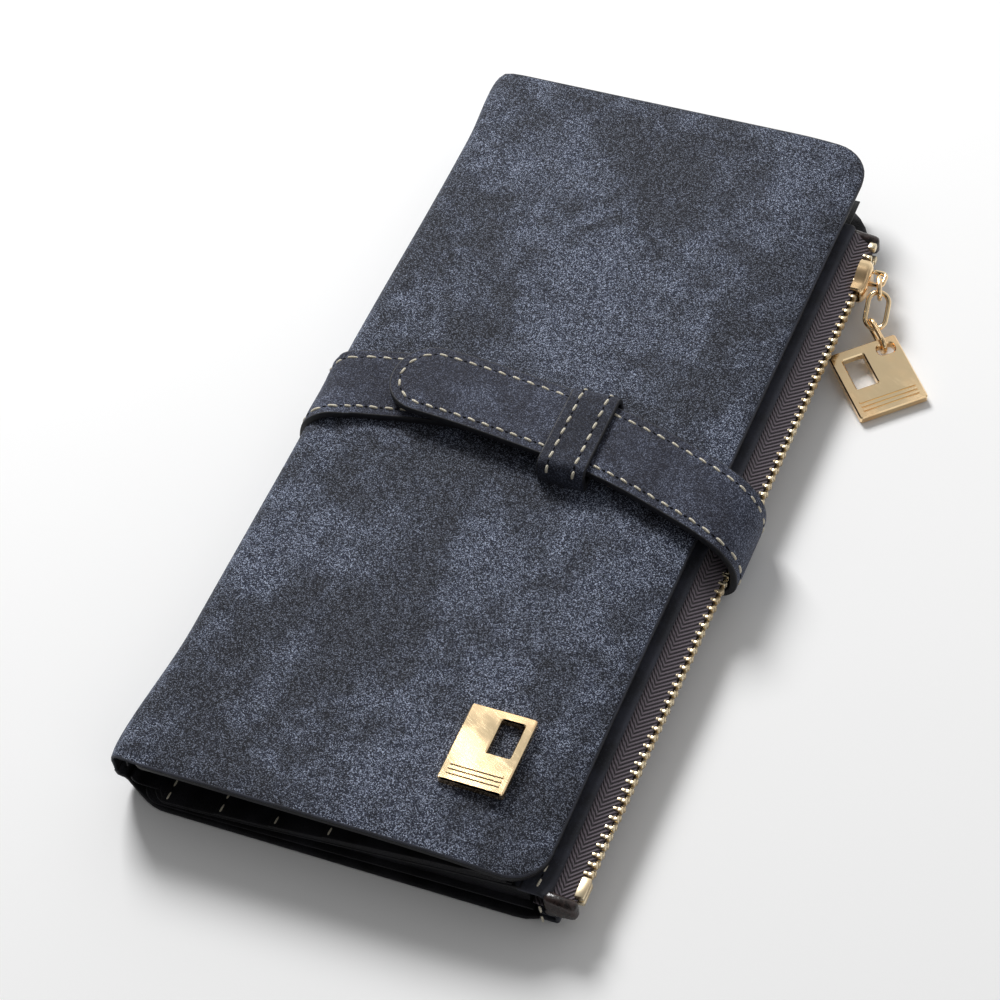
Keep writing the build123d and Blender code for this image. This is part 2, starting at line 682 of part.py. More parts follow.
def ring(start, end, beside, short_side):
    """An oval wire ring from one end of its centre line to the other, flat towards beside."""
    start, end = Vector(*start), Vector(*end)
    along = end - start
    normal = along.cross(Vector(*beside))
    plane = Plane(origin=(start + end) / 2, x_dir=along, z_dir=normal)
    path = ring_path(plane, along.length, short_side)
    with BuildPart() as wire:
        with BuildSketch(Plane(origin=path @ 0, z_dir=path % 0)):
            Circle(RING_WIRE)
        sweep(path=path)
    return wire.part


def tapered(extra, y_low, y_high):
    """The slider's outline across the zip, wider towards its far end."""
    narrow, wide = SLIDER_HALF_WIDTHS
    with BuildSketch(Plane.YZ.offset(SLIDER_BACK_X)) as outline:
        Polygon(
            (y_low, ZIP_Z - narrow - extra), (y_high, ZIP_Z - wide - extra),
            (y_high, ZIP_Z + wide + extra), (y_low, ZIP_Z + narrow + extra), align=None,
        )
    return outline.sketch


def make_slider():
    """Slider that wraps the teeth, with its wedge post, inner plate and pull crown."""
    near, far = SLIDER_NEAR_Y, SLIDER_NEAR_Y + SLIDER_LENGTH
    outside = tapered(SLIDER_WALL, near, far)
    inside = tapered(0, near, far)
    plate_long, plate_tall, plate_thick = SLIDER_INNER_PLATE
    wedge_long, wedge_tall = SLIDER_WEDGE
    plate_x = SLIDER_BACK_X - 1.5
    wedge_x = plate_x + plate_thick - 0.1
    with BuildPart() as slider_body:
        extrude(outside, amount=SLIDER_FACE_X - SLIDER_BACK_X)
        fillet(slider_body.edges().group_by(Axis.X)[-1], 0.4)
        extrude(inside, amount=SLIDER_INSIDE_X - SLIDER_BACK_X, mode=Mode.SUBTRACT)
        with BuildSketch(Plane.YZ.offset(plate_x)):
            with Locations((near + 5.0, ZIP_Z)):
                RectangleRounded(plate_long, plate_tall, 0.5)
        extrude(amount=plate_thick)
        with BuildSketch(Plane.YZ.offset(wedge_x)):
            with Locations((far - 1.1, ZIP_Z)):
                RectangleRounded(wedge_long, wedge_tall, 0.2)
        extrude(amount=SLIDER_FACE_X - wedge_x - 0.1)
    save(slider_body.part, "slider_body")

    root_x = SLIDER_FACE_X - 0.4
    with BuildLine(Plane.XY.offset(ZIP_Z)) as arch:
        FilletPolyline(
            (root_x, CROWN_NEAR_Y), (CROWN_REACH_X, CROWN_NEAR_Y),
            (CROWN_REACH_X, CROWN_FAR_Y), (root_x, CROWN_FAR_Y), radius=CROWN_BEND,
        )
    with BuildPart() as slider_crown:
        with BuildSketch(Plane(origin=arch.line @ 0, z_dir=arch.line % 0)):
            Circle(CROWN_WIRE)
        sweep(path=arch.wires()[0])
        add(slider_body.part, mode=Mode.SUBTRACT)
    save(slider_crown.part, "slider_crown")


def charm_plane():
    """The charm's underside, its slot end resting on the ring and its foot on the table."""
    down = Vector(CHARM_ALONG.Y, -CHARM_ALONG.X, 0)
    tall = CHARM_SIZE[1]
    lean = radians(CHARM_TILT)
    up_slope = Vector(-down.X * cos(lean), -down.Y * cos(lean), sin(lean))
    normal = CHARM_ALONG.cross(up_slope)
    from_bar = up_slope * (BAR_DEPTH - tall / 2) - CHARM_ALONG * CHARM_SLOT_SPOT[0]
    origin = CHARM_BAR + from_bar - normal * (PLATE / 2)
    return Plane(origin=origin, x_dir=CHARM_ALONG, z_dir=normal)


def make_pull():
    """The loop in the slider's crown, two interlocked rings and the charm."""
    save(ring(*BAIL, beside=(0, 0, 1), short_side=BAIL_WIDTH), "pull_bail")
    save(ring(*RING_1, beside=RING_1_BESIDE, short_side=RING_1_WIDTH), "pull_ring_1")
    save(ring(*RING_2, beside=(0, 0, 1), short_side=RING_2_WIDTH), "pull_ring_2")
    save(plate(charm_plane(), CHARM_SIZE, CHARM_WINDOW_SPOT, CHARM_SLOT_SPOT), "charm")


make_back_layers()
make_pocket_and_cards()
make_lips_and_tapes()
make_teeth()
make_zip_ends()
make_spine()
make_cover()
hinge_points = strap_turns()
make_strap_links(hinge_points)
make_tongue(hinge_points)
make_fixed_strap(hinge_points)
make_keeper()
make_badge()
make_slider()
make_pull()
print("strap turns", [(round(p.X, 2), round(p.Y, 2)) for p in hinge_points])
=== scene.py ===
"""Looks of the long wallet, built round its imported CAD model.

Lengths below are millimetres in the CAD frame; mesh_piece turns them into metres. +X runs
from the fold to the zip, +Y from the badge end to the slider end, +Z up through the cover.
"""
import json
import random
from math import cos, pi, radians, sin, sqrt, tan

import bmesh
import bpy
import numpy as np
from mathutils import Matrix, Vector


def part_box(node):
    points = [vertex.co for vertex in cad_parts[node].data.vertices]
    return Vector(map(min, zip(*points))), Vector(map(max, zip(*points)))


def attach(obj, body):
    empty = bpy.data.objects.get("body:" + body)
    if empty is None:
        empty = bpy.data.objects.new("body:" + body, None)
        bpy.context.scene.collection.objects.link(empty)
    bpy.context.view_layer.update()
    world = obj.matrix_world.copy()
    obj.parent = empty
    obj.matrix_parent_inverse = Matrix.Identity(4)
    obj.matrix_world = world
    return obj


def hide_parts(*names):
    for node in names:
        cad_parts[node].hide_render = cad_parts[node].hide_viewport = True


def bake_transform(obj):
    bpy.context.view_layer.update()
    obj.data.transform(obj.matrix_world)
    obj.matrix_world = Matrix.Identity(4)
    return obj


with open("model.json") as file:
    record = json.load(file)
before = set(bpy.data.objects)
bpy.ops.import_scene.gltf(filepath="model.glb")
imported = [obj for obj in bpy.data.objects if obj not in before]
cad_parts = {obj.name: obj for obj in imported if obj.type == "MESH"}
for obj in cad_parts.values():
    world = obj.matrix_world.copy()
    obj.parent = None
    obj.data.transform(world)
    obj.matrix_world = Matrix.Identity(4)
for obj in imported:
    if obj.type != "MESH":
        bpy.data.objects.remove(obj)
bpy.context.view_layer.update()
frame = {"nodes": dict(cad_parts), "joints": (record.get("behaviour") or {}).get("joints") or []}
NODES = frame["nodes"]
RECORD_JOINTS = {joint["name"]: joint for joint in frame["joints"]}

MM = 0.001
SCENE = bpy.context.scene

# ---- sizes ----
COVER_EDGE_X = 41.9
HALF_LENGTH = 95.0
COVER_TOP_Z = 15.0
DROOP_START_X = 24.0
DROOP_RADIUS = 95.0
SPINE_X = -44.0
SPINE_BULGE = 0.25
SPINE_BOW = 1.5                # the fold is drawn in this much between its two ends
SPINE_MIDDLE_Z = 7.5
FOLD_RADIUS = 3.6
SKIN = 1.0                     # outer leather
COVER_CORNER = 8.0
FOLD_END_INSET = 1.4           # the skin is this much shorter at each end, halfway down the spine
LOWER_FOLD_INSET = 3.6
FOLD_FLARE_NEAR = 1.9          # how far the fold stands out again at its two ends
FOLD_FLARE_FAR = 1.2
NEAR_SAG = 1.25                # how far the badge end of the free edge hangs down
BOARD_WAVE = 0.10              # height of the soft waves over the cover's board
PINCH = 0.38                   # how far the cover's face is pressed down at its edge
PINCH_REACH = 1.6
INNER_STEP = 0.9               # the cover's lining lies this far under its face

BACK_FAR_Y = 92.0
BACK_EDGE_X = 45.0
BACK_FAR_TRIM = 3.0            # the back skin is drawn in this much at the slider end
CHANNEL_DEPTH = 1.56           # the strap's bed in the back skin
CHANNEL_HALF = (8.9, 11.0)     # where its flat bottom ends and where it has run out
FOLD_LINING = 0.5
FOLD_LINING_X = -42.35
SETTLE = 2.3                   # how far the inner layers lie lower at the fold
SETTLE_PER_MM = 0.35           # and how much more for each mm higher up
SETTLE_FROM_Z = 3.6
LEAF_SEAMS = (-34.3, -23.0, -11.5, -0.4)
GUSSET_BACK = 3.5              # the end walls start this far from the pocket's fold side
LIP_NEAR_Y = -94.4
LIP_FAR_Y = 77.0
LIP_TOP_Z = 10.6
LIP_EDGE_X = 43.7
LIP_LOW_Z = 3.8
LIP = 0.85
LIP_SEAM_X = 40.9
END_SEAM_X = 41.9
ZIP_Z = 6.7
TAPE = 0.45
TOOTH_PITCH = 2.1
FIRST_TOOTH_Y = -86.4
TOOTH_COUNT = 76
TOOTH_X = 48.5
TOOTH_OFF_MIDDLE = 0.4
TOOTH_PARTING = 0.9            # how far each row stands off beyond the slider
TOOTH_HEAD = (1.05, 0.88, 1.26)
TOOTH_NECK = (1.0, 0.7, 1.0)
SLIDER_NEAR_Y = 61.5
SLIDER_LENGTH = 8.0
SLIDER_BACK_X = 47.5
SLIDER_FACE_X = 50.55
SLIDER_WALL = 0.55
CHANNEL_POINTS = 34
ZIP_END_X = 48.3
TAB_X = 45.7

STRAP_WIDTH = 17.0
STRAP = 1.5
STRAP_TIP = 8.1
COVER_STITCH_START = 9.0       # the fixed end's stitches start past its rounded tip
STITCH_PITCH = 3.2
STITCH_LENGTH = 2.15
STITCH_RADIUS = 0.28
FINE_STITCH = 0.24
STITCH_MARGIN = 2.0
KEEPER_X = 13.0
KEEPER_WIDTH = 10.0
KEEPER = 1.05
KEEPER_Y = (-9.9, 11.5)
KEEPER_Z = (15.1, 20.5)
KEEPER_ROW = 2.7               # its two rows of stitches are this far off its middle

CAMERA_AZIMUTH, CAMERA_ELEVATION, CAMERA_ROLL = 29.127, 50.307, -8.796
CAMERA_DISTANCE = 648.226
CAMERA_TARGET = (2.899, -16.511, 15.0)
CAMERA_LENS, CAMERA_SENSOR = 120.79, 36.0


# ---- node helpers ----
class Tree:
    """Builds a node tree with short calls."""

    def __init__(self, tree):
        self.tree = tree

    def put(self, value, socket):
        """Set a socket from another node's output or from a plain value."""
        if isinstance(value, bpy.types.NodeSocket):
            self.tree.links.new(value, socket)
        else:
            socket.default_value = value

    def rest(self):
        """The point's place at rest in millimetres, kept on the mesh so that it bends along."""
        node = self.tree.nodes.new("ShaderNodeAttribute")
        node.attribute_name = "rest"
        return node.outputs["Vector"]

    def own(self):
        """The object's own coordinates in millimetres, for rigid CAD nodes."""
        node = self.tree.nodes.new("ShaderNodeTexCoord")
        return self.scaled(node.outputs["Object"], (1000, 1000, 1000))

    def within(self):
        """Where a point is in its object's box, or a direction in the world."""
        return self.tree.nodes.new("ShaderNodeTexCoord").outputs["Generated"]

    def scaled(self, vector, scale):
        """A vector times a scale for each axis."""
        node = self.tree.nodes.new("ShaderNodeMapping")
        node.inputs["Scale"].default_value = scale
        self.put(vector, node.inputs["Vector"])
        return node.outputs["Vector"]

    def turned(self, vector, degrees):
        """A vector turned about Z."""
        node = self.tree.nodes.new("ShaderNodeMapping")
        node.inputs["Rotation"].default_value = (0, 0, radians(degrees))
        self.put(vector, node.inputs["Vector"])
        return node.outputs["Vector"]

    def noise(self, vector, scale, detail=3.0, roughness=0.55, distortion=0.0):
        """Noise whose scale is in features per millimetre."""
        node = self.tree.nodes.new("ShaderNodeTexNoise")
        self.put(vector, node.inputs["Vector"])
        node.inputs["Scale"].default_value = scale
        node.inputs["Detail"].default_value = detail
        node.inputs["Roughness"].default_value = roughness
        node.inputs["Distortion"].default_value = distortion
        return node.outputs["Fac"]

    def voronoi(self, vector, scale, feature="F1"):
        """Distance to the nearest cell point, or to the cell's edge."""
        node = self.tree.nodes.new("ShaderNodeTexVoronoi")
        node.feature = feature
        self.put(vector, node.inputs["Vector"])
        node.inputs["Scale"].default_value = scale
        return node.outputs["Distance"]

    def flecks(self, vector, scale):
        """A random value for each small cell."""
        node = self.tree.nodes.new("ShaderNodeTexVoronoi")
        self.put(vector, node.inputs["Vector"])
        node.inputs["Scale"].default_value = scale
        return self.split(node.outputs["Color"])[0]

    def maths(self, operation, first, second=0.0, third=0.0):
        """One math node."""
        node = self.tree.nodes.new("ShaderNodeMath")
        node.operation = operation
        for value, socket in zip((first, second, third), node.inputs):
            self.put(value, socket)
        return node.outputs[0]

    def plus(self, first, second):
        """A sum."""
        return self.maths("ADD", first, second)

    def times(self, first, second):
        """A product."""
        return self.maths("MULTIPLY", first, second)

    def spread(self, value, low, high, to_low=0.0, to_high=1.0):
        """Map a range smoothly onto another, clamped."""
        node = self.tree.nodes.new("ShaderNodeMapRange")
        node.interpolation_type = "SMOOTHSTEP"
        self.put(value, node.inputs["Value"])
        for name, number in zip(
            ("From Min", "From Max", "To Min", "To Max"), (low, high, to_low, to_high)
        ):
            node.inputs[name].default_value = number
        return node.outputs["Result"]

    def mix(self, share, first, second):
        """A colour between two colours."""
        node = self.tree.nodes.new("ShaderNodeMix")
        node.data_type = "RGBA"
        self.put(share, node.inputs["Factor"])
        self.put(first, node.inputs["A"])
        self.put(second, node.inputs["B"])
        return node.outputs["Result"]

    def split(self, vector):
        """X, Y and Z of a vector."""
        node = self.tree.nodes.new("ShaderNodeSeparateXYZ")
        self.put(vector, node.inputs[0])
        return node.outputs

    def bump(self, height, distance_mm, strength=1.0, under=None):
        """A normal from a height, stacked on another normal when given."""
        node = self.tree.nodes.new("ShaderNodeBump")
        self.put(height, node.inputs["Height"])
        node.inputs["Distance"].default_value = distance_mm * MM
        node.inputs["Strength"].default_value = strength
        if under is not None:
            self.put(under, node.inputs["Normal"])
        return node.outputs["Normal"]


class Nodes(Tree):
    """A new material's node tree."""

    def __init__(self, name):
        self.material = bpy.data.materials.new(name)
        self.material.use_nodes = True
        super().__init__(self.material.node_tree)
        self.shader = self.tree.nodes["Principled BSDF"]

    def finish(self, **values):
        """Plug values into the shader by socket name, with _ for each space."""
        for name, value in values.items():
            self.put(value, self.shader.inputs[name.replace("_", " ")])
        return self.material


def rgb(red, green, blue):
    """A linear colour from sRGB values out of 255."""
    def linear(value):
        share = value / 255
        return share / 12.92 if share <= 0.04045 else ((share + 0.055) / 1.055) ** 2.4
    return (linear(red), linear(green), linear(blue), 1.0)


# ---- materials ----
def nubuck(name, dark, light, fleck, contrast):
    """Brushed navy-grey leather: soft clouds, a fine light grain and a velvet sheen."""
    n = Nodes(name)
    at = n.rest()
    clouds = n.noise(n.scaled(at, (1.0, 0.8, 1.0)), 0.045, 5.0, 0.62, 0.3)
    brushed = n.noise(n.turned(at, 35), 0.16, 4.0, 0.6, 0.6)
    tone = n.spread(n.plus(n.times(clouds, 0.62), n.times(brushed, 0.38)), 0.42, 0.62)
    grain = n.noise(at, 2.1, 2.0, 0.5)
    cells = n.plus(n.times(n.flecks(at, 6.2), 0.55), n.times(n.flecks(at, 9.5), 0.25))
    cells = n.plus(cells, n.times(grain, 0.2))
    base = n.mix(tone, dark, light)
    base = n.mix(n.spread(cells, 0.18, 0.56, 0.95 * contrast, 0.0), base, rgb(6, 7, 12))
    share = n.times(n.spread(cells, 0.56, 0.84), n.spread(tone, 0.0, 1.0, 0.45, 1.0))
    base = n.mix(n.times(share, contrast), base, fleck)
    normal = n.bump(n.noise(at, 0.7, 3.0, 0.6), 0.10, 0.25)
    normal = n.bump(cells, 0.08, 0.5 * contrast, normal)
    return n.finish(
        Base_Color=base, Normal=normal, Roughness=n.spread(grain, 0.3, 0.7, 0.72, 0.9),
        Specular_IOR_Level=0.25, Sheen_Weight=0.09, Sheen_Roughness=0.45,
        Sheen_Tint=(0.62, 0.68, 0.80, 1.0),
    )


def dark_nubuck():
    """The same leather where it is pressed and rubbed smooth, on lips and inner edges."""
    n = Nodes("dark_nubuck")
    at = n.rest()
    tone = n.spread(n.noise(at, 0.12, 4.0, 0.6), 0.35, 0.68)
    grain = n.noise(at, 2.4, 2.0, 0.7)
    base = n.mix(tone, rgb(25, 26, 33), rgb(45, 47, 59))
    base = n.mix(n.spread(grain, 0.5, 0.72, 0.0, 0.55), base, rgb(66, 69, 80))
    normal = n.bump(grain, 0.08, 0.45)
    return n.finish(
        Base_Color=base, Normal=normal, Roughness=n.spread(grain, 0.3, 0.7, 0.55, 0.8),
        Specular_IOR_Level=0.35, Sheen_Weight=0.15, Sheen_Roughness=0.5,
        Sheen_Tint=(0.6, 0.64, 0.74, 1.0),
    )


def lining_leather(name, own=False):
    """Smooth black leather with fine creased grain. Flat CAD nodes have no stored rest places."""
    n = Nodes(name)
    at = n.own() if own else n.rest()
    creases = n.spread(n.voronoi(at, 1.5, "DISTANCE_TO_EDGE"), 0.0, 0.16)
    tone = n.noise(at, 0.15, 4.0, 0.6)
    base = n.mix(n.spread(tone, 0.35, 0.7), rgb(15, 15, 18), rgb(30, 30, 35))
    normal = n.bump(creases, 0.08, 0.5)
    if not own:
        normal = n.bump(n.noise(at, 0.4, 3.0, 0.6), 0.12, 0.3, normal)
    return n.finish(
        Base_Color=base, Normal=normal, Roughness=n.spread(tone, 0.3, 0.7, 0.42, 0.62),
        Specular_IOR_Level=0.28,
    )


def edge_paint():
    """The strap's cut edge, dyed dark grey and burnished."""
    n = Nodes("edge_paint")
    at = n.rest()
    fibres = n.noise(n.scaled(at, (1.0, 1.0, 4.0)), 1.6, 4.0, 0.65)
    base = n.mix(n.spread(fibres, 0.35, 0.7), rgb(20, 20, 24), rgb(40, 41, 46))
    return n.finish(
        Base_Color=base, Normal=n.bump(fibres, 0.12, 0.5),
        Roughness=n.spread(fibres, 0.3, 0.7, 0.45, 0.7), Specular_IOR_Level=0.4,
    )


def thread():
    """Cream waxed thread, twisted."""
    n = Nodes("thread")
    at = n.rest()
    x, y, z = n.split(at)
    twist = n.maths("SINE", n.times(n.plus(n.plus(x, y), z), 13.0))
    tone = n.noise(at, 0.8, 2.0)
    base = n.mix(n.spread(twist, -1, 1, 0.0, 0.5), rgb(236, 229, 210), rgb(190, 179, 156))
    base = n.mix(n.spread(tone, 0.35, 0.65, 0.0, 0.35), base, rgb(160, 150, 130))
    return n.finish(
        Base_Color=base, Normal=n.bump(twist, 0.06, 0.6),
        Roughness=n.spread(tone, 0.3, 0.7, 0.5, 0.7), Specular_IOR_Level=0.35,
    )


def stitch_hole_shade():
    """Painted shade: a near-black capsule sunk between two stitches, for the shade inside the punched
    hole.
    """
    n = Nodes("stitch_hole_shade")
    tone = n.noise(n.rest(), 2.0, 2.0)
    return n.finish(
        Base_Color=n.mix(tone, rgb(6, 6, 8), rgb(18, 18, 22)), Specular_IOR_Level=0.1,
        Roughness=n.spread(tone, 0.3, 0.7, 0.8, 0.95), Normal=n.bump(tone, 0.05, 0.5),
    )


def zip_tape():
    """Woven tape: chevron ribs across two columns, dark grey-brown, with a highlight painted on each rib
    and shade painted in the grooves between.
    """
    n = Nodes("zip_tape")
    at = n.rest()
    x, y = n.split(at)[:2]
    inner = n.spread(x, 45.15, 45.25)
    slant = n.times(n.maths("ABSOLUTE", n.maths("SUBTRACT", x, 45.2)), 1.15)
    ribs = n.maths("SUBTRACT", n.times(y, 0.95), slant)
    wave = n.maths("SINE", n.times(ribs, 2 * pi))
    yarn = n.maths("SINE", n.times(n.plus(x, n.times(y, 0.4)), 2 * pi / 0.42))
    yarn = n.times(yarn, n.maths("SUBTRACT", 1.15, inner))
    fuzz = n.noise(at, 3.0, 3.0, 0.7)
    height = n.plus(wave, n.times(yarn, 0.4))
    # Painted light: the colour follows the rib height, pale on the raised ribs as a painted highlight and
    # near-black in the grooves as painted shade.
    base = n.mix(n.spread(height, -1.2, 1.2), rgb(20, 17, 20), rgb(110, 100, 109))
    base = n.mix(n.spread(fuzz, 0.5, 0.75, 0.0, 0.4), base, rgb(120, 110, 118))
    normal = n.bump(height, 0.14, 0.8)
    normal = n.bump(fuzz, 0.05, 0.4, normal)
    return n.finish(
        Base_Color=base, Normal=normal, Roughness=n.spread(fuzz, 0.3, 0.7, 0.6, 0.85),
        Specular_IOR_Level=0.3, Sheen_Weight=0.15, Sheen_Roughness=0.5,
    )


def tape_end():
    """The zip's sealed ends: dark brown, waxed and glossy."""
    n = Nodes("tape_end")
    at = n.rest()
    tone = n.noise(at, 0.9, 4.0, 0.6)
    base = n.mix(n.spread(tone, 0.35, 0.65), rgb(17, 11, 10), rgb(48, 33, 30))
    return n.finish(
        Base_Color=base, Normal=n.bump(tone, 0.2, 0.5),
        Roughness=n.spread(tone, 0.3, 0.7, 0.18, 0.4), Specular_IOR_Level=0.55,
    )


def gold(name, bright, deep, low, high, own=True):
    """Plated metal with faint brushing, smudges and hairline scratches."""
    n = Nodes(name)
    at = n.own() if own else n.rest()
    smudge = n.noise(at, 0.12, 2.0, 0.5)
    hair = n.noise(n.scaled(n.turned(at, 28), (0.35, 6.0, 1.0)), 1.0, 3.0, 0.6)
    base = n.mix(n.spread(smudge, 0.35, 0.7), bright, deep)
    rough = n.plus(n.spread(smudge, 0.3, 0.7, low, high), n.spread(hair, 0.5, 0.75, 0.0, 0.06))
    return n.finish(
        Base_Color=base, Metallic=1.0, Roughness=rough, Normal=n.bump(hair, 0.006, 0.3),
    )


def clear_sheet():
    """Clear flexible plastic, slightly dusty."""
    n = Nodes("clear_sheet")
    at = n.own()
    dust = n.noise(at, 0.5, 4.0, 0.7)
    material = n.finish(
        Base_Color=rgb(232, 236, 240), Roughness=n.spread(dust, 0.4, 0.7, 0.06, 0.22),
        Transmission_Weight=0.85, IOR=1.45, Alpha=0.45, Normal=n.bump(dust, 0.05, 0.3),
    )
    material.surface_render_method = "BLENDED"
    return material


def floor_material():
    """Plain pale table."""
    n = Nodes("floor")
    tone = n.noise(n.own(), 0.01, 2.0)
    return n.finish(
        Base_Color=n.mix(tone, (0.95, 0.95, 0.95, 1), (0.98, 0.98, 0.98, 1)),
        Roughness=0.75, Specular_IOR_Level=0.1,
    )


NUBUCK = nubuck("nubuck", rgb(22, 23, 33), rgb(47, 53, 72), rgb(184, 194, 216), 1.0)
STRAP_NUBUCK = nubuck("strap_nubuck", rgb(38, 39, 51), rgb(54, 58, 74), rgb(158, 167, 190), 0.72)
KEEPER_NUBUCK = nubuck("keeper_nubuck", rgb(30, 31, 41), rgb(42, 45, 58), rgb(132, 140, 160), 0.6)
DARK_NUBUCK = dark_nubuck()
LINING_LEATHER = lining_leather("lining_leather")
FRAME_LEATHER = lining_leather("frame_leather", own=True)
EDGE_PAINT = edge_paint()
THREAD = thread()
# Near-black capsules between the stitches: painted shade in the holes.
STITCH_HOLE_SHADE = stitch_hole_shade()
ZIP_TAPE = zip_tape()
TAPE_END = tape_end()
GOLD = gold("gold", (1.0, 0.78, 0.48, 1), (0.98, 0.68, 0.38, 1), 0.12, 0.20)
PALE_GOLD = gold("pale_gold", (0.88, 0.76, 0.54, 1), (0.72, 0.58, 0.38, 1), 0.24, 0.36, own=False)
CLEAR_SHEET = clear_sheet()


# ---- mesh helpers ----
def mesh_piece(name, points, faces, materials, face_materials=None, sharp=50):
    """A piece from points in millimetres, with its rest places stored for the materials."""
    points = np.asarray(points, float)
    mesh = bpy.data.meshes.new(name)
    mesh.from_pydata((points * MM).tolist(), [], faces)
    for material in materials:
        mesh.materials.append(material)
    if face_materials is not None:
        mesh.polygons.foreach_set("material_index", face_materials)
    work = bmesh.new()
    work.from_mesh(mesh)
    bmesh.ops.recalc_face_normals(work, faces=work.faces)
    work.to_mesh(mesh)
    work.free()
    mesh.polygons.foreach_set("use_smooth", [True] * len(mesh.polygons))
    mesh.set_sharp_from_angle(angle=radians(sharp))
    rest = mesh.attributes.new("rest", "FLOAT_VECTOR", "POINT")
    rest.data.foreach_set("vector", points.astype(np.float32).ravel())
    piece = bpy.data.objects.new(name, mesh)
    SCENE.collection.objects.link(piece)
    return piece


def unit(vectors):
    """Vectors scaled to length one."""
    return vectors / np.maximum(np.linalg.norm(vectors, axis=-1, keepdims=True), 1e-12)


def distances(line):
    """How far each point of a line is from its start, along the line."""
    return np.concatenate([[0], np.cumsum(np.linalg.norm(np.diff(line, axis=0), axis=1))])


def rounded_line(corners, radii, step=0.4):
    """Points along a line of straight runs whose inner corners are turned into arcs."""
    corners = [np.array(corner, float) for corner in corners]
    points = [corners[0]]
    for before, corner, after, radius in zip(corners, corners[1:], corners[2:], radii):
        back, on = unit(before - corner), unit(after - corner)
        half = np.arccos(np.clip(back @ on, -1, 1)) / 2
        reach = radius / np.tan(half)
        centre = corner + unit(back + on) * radius / np.sin(half)
        first, last = corner + back * reach - centre, corner + on * reach - centre
        turn = pi - 2 * half
        count = max(3, int(radius * turn / step))
        for k in range(count + 1):
            share = k / count
            weight = np.sin((1 - share) * turn), np.sin(share * turn)
            points.append(centre + (first * weight[0] + last * weight[1]) / np.sin(turn))
    points.append(corners[-1])
    return np.array(points)


def spline(points, count=24):
    """A smooth line through points, evenly weighted by the distance between them."""
    points = np.asarray(points, float)
    steps = np.sqrt(np.linalg.norm(np.diff(points, axis=0), axis=1))
    knots = np.concatenate([[0], np.cumsum(steps)])
    ends = (2 * points[0] - points[1], 2 * points[-1] - points[-2])
    points = np.vstack([ends[0], points, ends[1]])
    knots = np.concatenate([[-steps[0]], knots, [knots[-1] + steps[-1]]])
    line = []
    for k in range(1, len(points) - 2):
        (p0, p1, p2, p3), (t0, t1, t2, t3) = points[k - 1:k + 3], knots[k - 1:k + 3]
        for t in np.linspace(t1, t2, count, endpoint=False):
            a1 = (p0 * (t1 - t) + p1 * (t - t0)) / (t1 - t0)
            a2 = (p1 * (t2 - t) + p2 * (t - t1)) / (t2 - t1)
            a3 = (p2 * (t3 - t) + p3 * (t - t2)) / (t3 - t2)
            b1 = (a1 * (t2 - t) + a2 * (t - t0)) / (t2 - t0)
            b2 = (a2 * (t3 - t) + a3 * (t - t1)) / (t3 - t1)
            line.append((b1 * (t2 - t) + b2 * (t - t1)) / (t2 - t1))
    line.append(points[-2])
    return np.array(line)


class Way:
    """A line that a strip or sheet follows, read by distance. Outwards is across x along."""

    def __init__(self, points, across=(0, 1, 0)):
        points = np.asarray(points, float)
        if points.shape[1] == 2:
            points = np.column_stack([points[:, 0], np.zeros(len(points)), points[:, 1]])
        steps = np.linalg.norm(np.diff(points, axis=0), axis=1)
        keep = np.concatenate([[True], steps > 1e-6])
        points = points[keep]
        self.distance = distances(points)
        self.length = self.distance[-1]
        self.points = points
        self.along = unit(np.gradient(points, self.distance, axis=0))
        self.hint = np.array(across, float)

    def read(self, table, u):
        """One table's values at distances u."""
        return np.column_stack([np.interp(u, self.distance, table[:, k]) for k in range(3)])

    def place(self, flat):
        """Points (along, across, depth) turned into places."""
        flat = np.asarray(flat, float)
        u = flat[:, 0]
        inside = np.clip(u, 0, self.length)
        along = unit(self.read(self.along, inside))
        spot = self.read(self.points, inside) + along * (u - inside)[:, None]
        across = unit(self.hint - (along @ self.hint)[:, None] * along)
        outwards = np.cross(across, along)
        return spot + across * flat[:, 1:2] - outwards * flat[:, 2:3]

    def at_x(self, x, start=0.0):
        """The first distance past start where the line reaches x."""
        side = np.sign(self.points[:, 0] - x)
        for k in np.nonzero(side[:-1] * side[1:] <= 0)[0]:
            x0, x1 = self.points[k, 0], self.points[k + 1, 0]
            if x0 != x1:
                share = (x - x0) / (x1 - x0)
                u = self.distance[k] + share * (self.distance[k + 1] - self.distance[k])
                if u >= start:
                    return u
        raise ValueError(f"the line never reaches x = {x}")


def stations(low, high, step, corner_low, corner_high):
    """Places along a sheet, closer together in its rounded corners."""
    turn = np.linspace(0, pi / 2, 9)
    count = max(2, int((high - low - corner_low - corner_high) / step))
    places = [np.linspace(low + corner_low, high - corner_high, count + 1)]
    if corner_low > 0:
        places.insert(0, low + corner_low * (1 - np.cos(turn[:-1])))
    if corner_high > 0:
        places.append(high - corner_high * (1 - np.cos(turn[-2::-1])))
    return np.concatenate(places)


def cut_back(distance, radius):
    """How far a rounded corner draws the side in, this far from the sheet's end."""
    inside = np.clip(radius - distance, 0, radius)
    return radius - np.sqrt(radius * radius - inside * inside)


def rim_profile(thickness, radius):
    """(outwards, depth) of a sheet's edge from its top face to its bottom face."""
    turn = np.linspace(0, pi / 2, 5)[1:]
    top = [(radius * sin(a), radius * (1 - cos(a))) for a in turn]
    bottom = [(out, thickness - depth) for out, depth in reversed(top)]
    if abs(bottom[0][1] - top[-1][1]) < 1e-6:
        bottom = bottom[1:]
    return top + bottom


def border_chains(index, joined):
    """The grid's border as chains of points, left open where an end meets the next piece."""
    low, high = list(index[::-1, 0]), list(index[:, -1])
    first, last = list(index[0, 1:-1]), list(index[-1, -2:0:-1])
    if joined[0] and joined[1]:
        return [low, high]
    if joined[1]:
        return [low + first + high]
    if joined[0]:
        return [high + last + low]
    return [low + first + high + last + low[:1]]


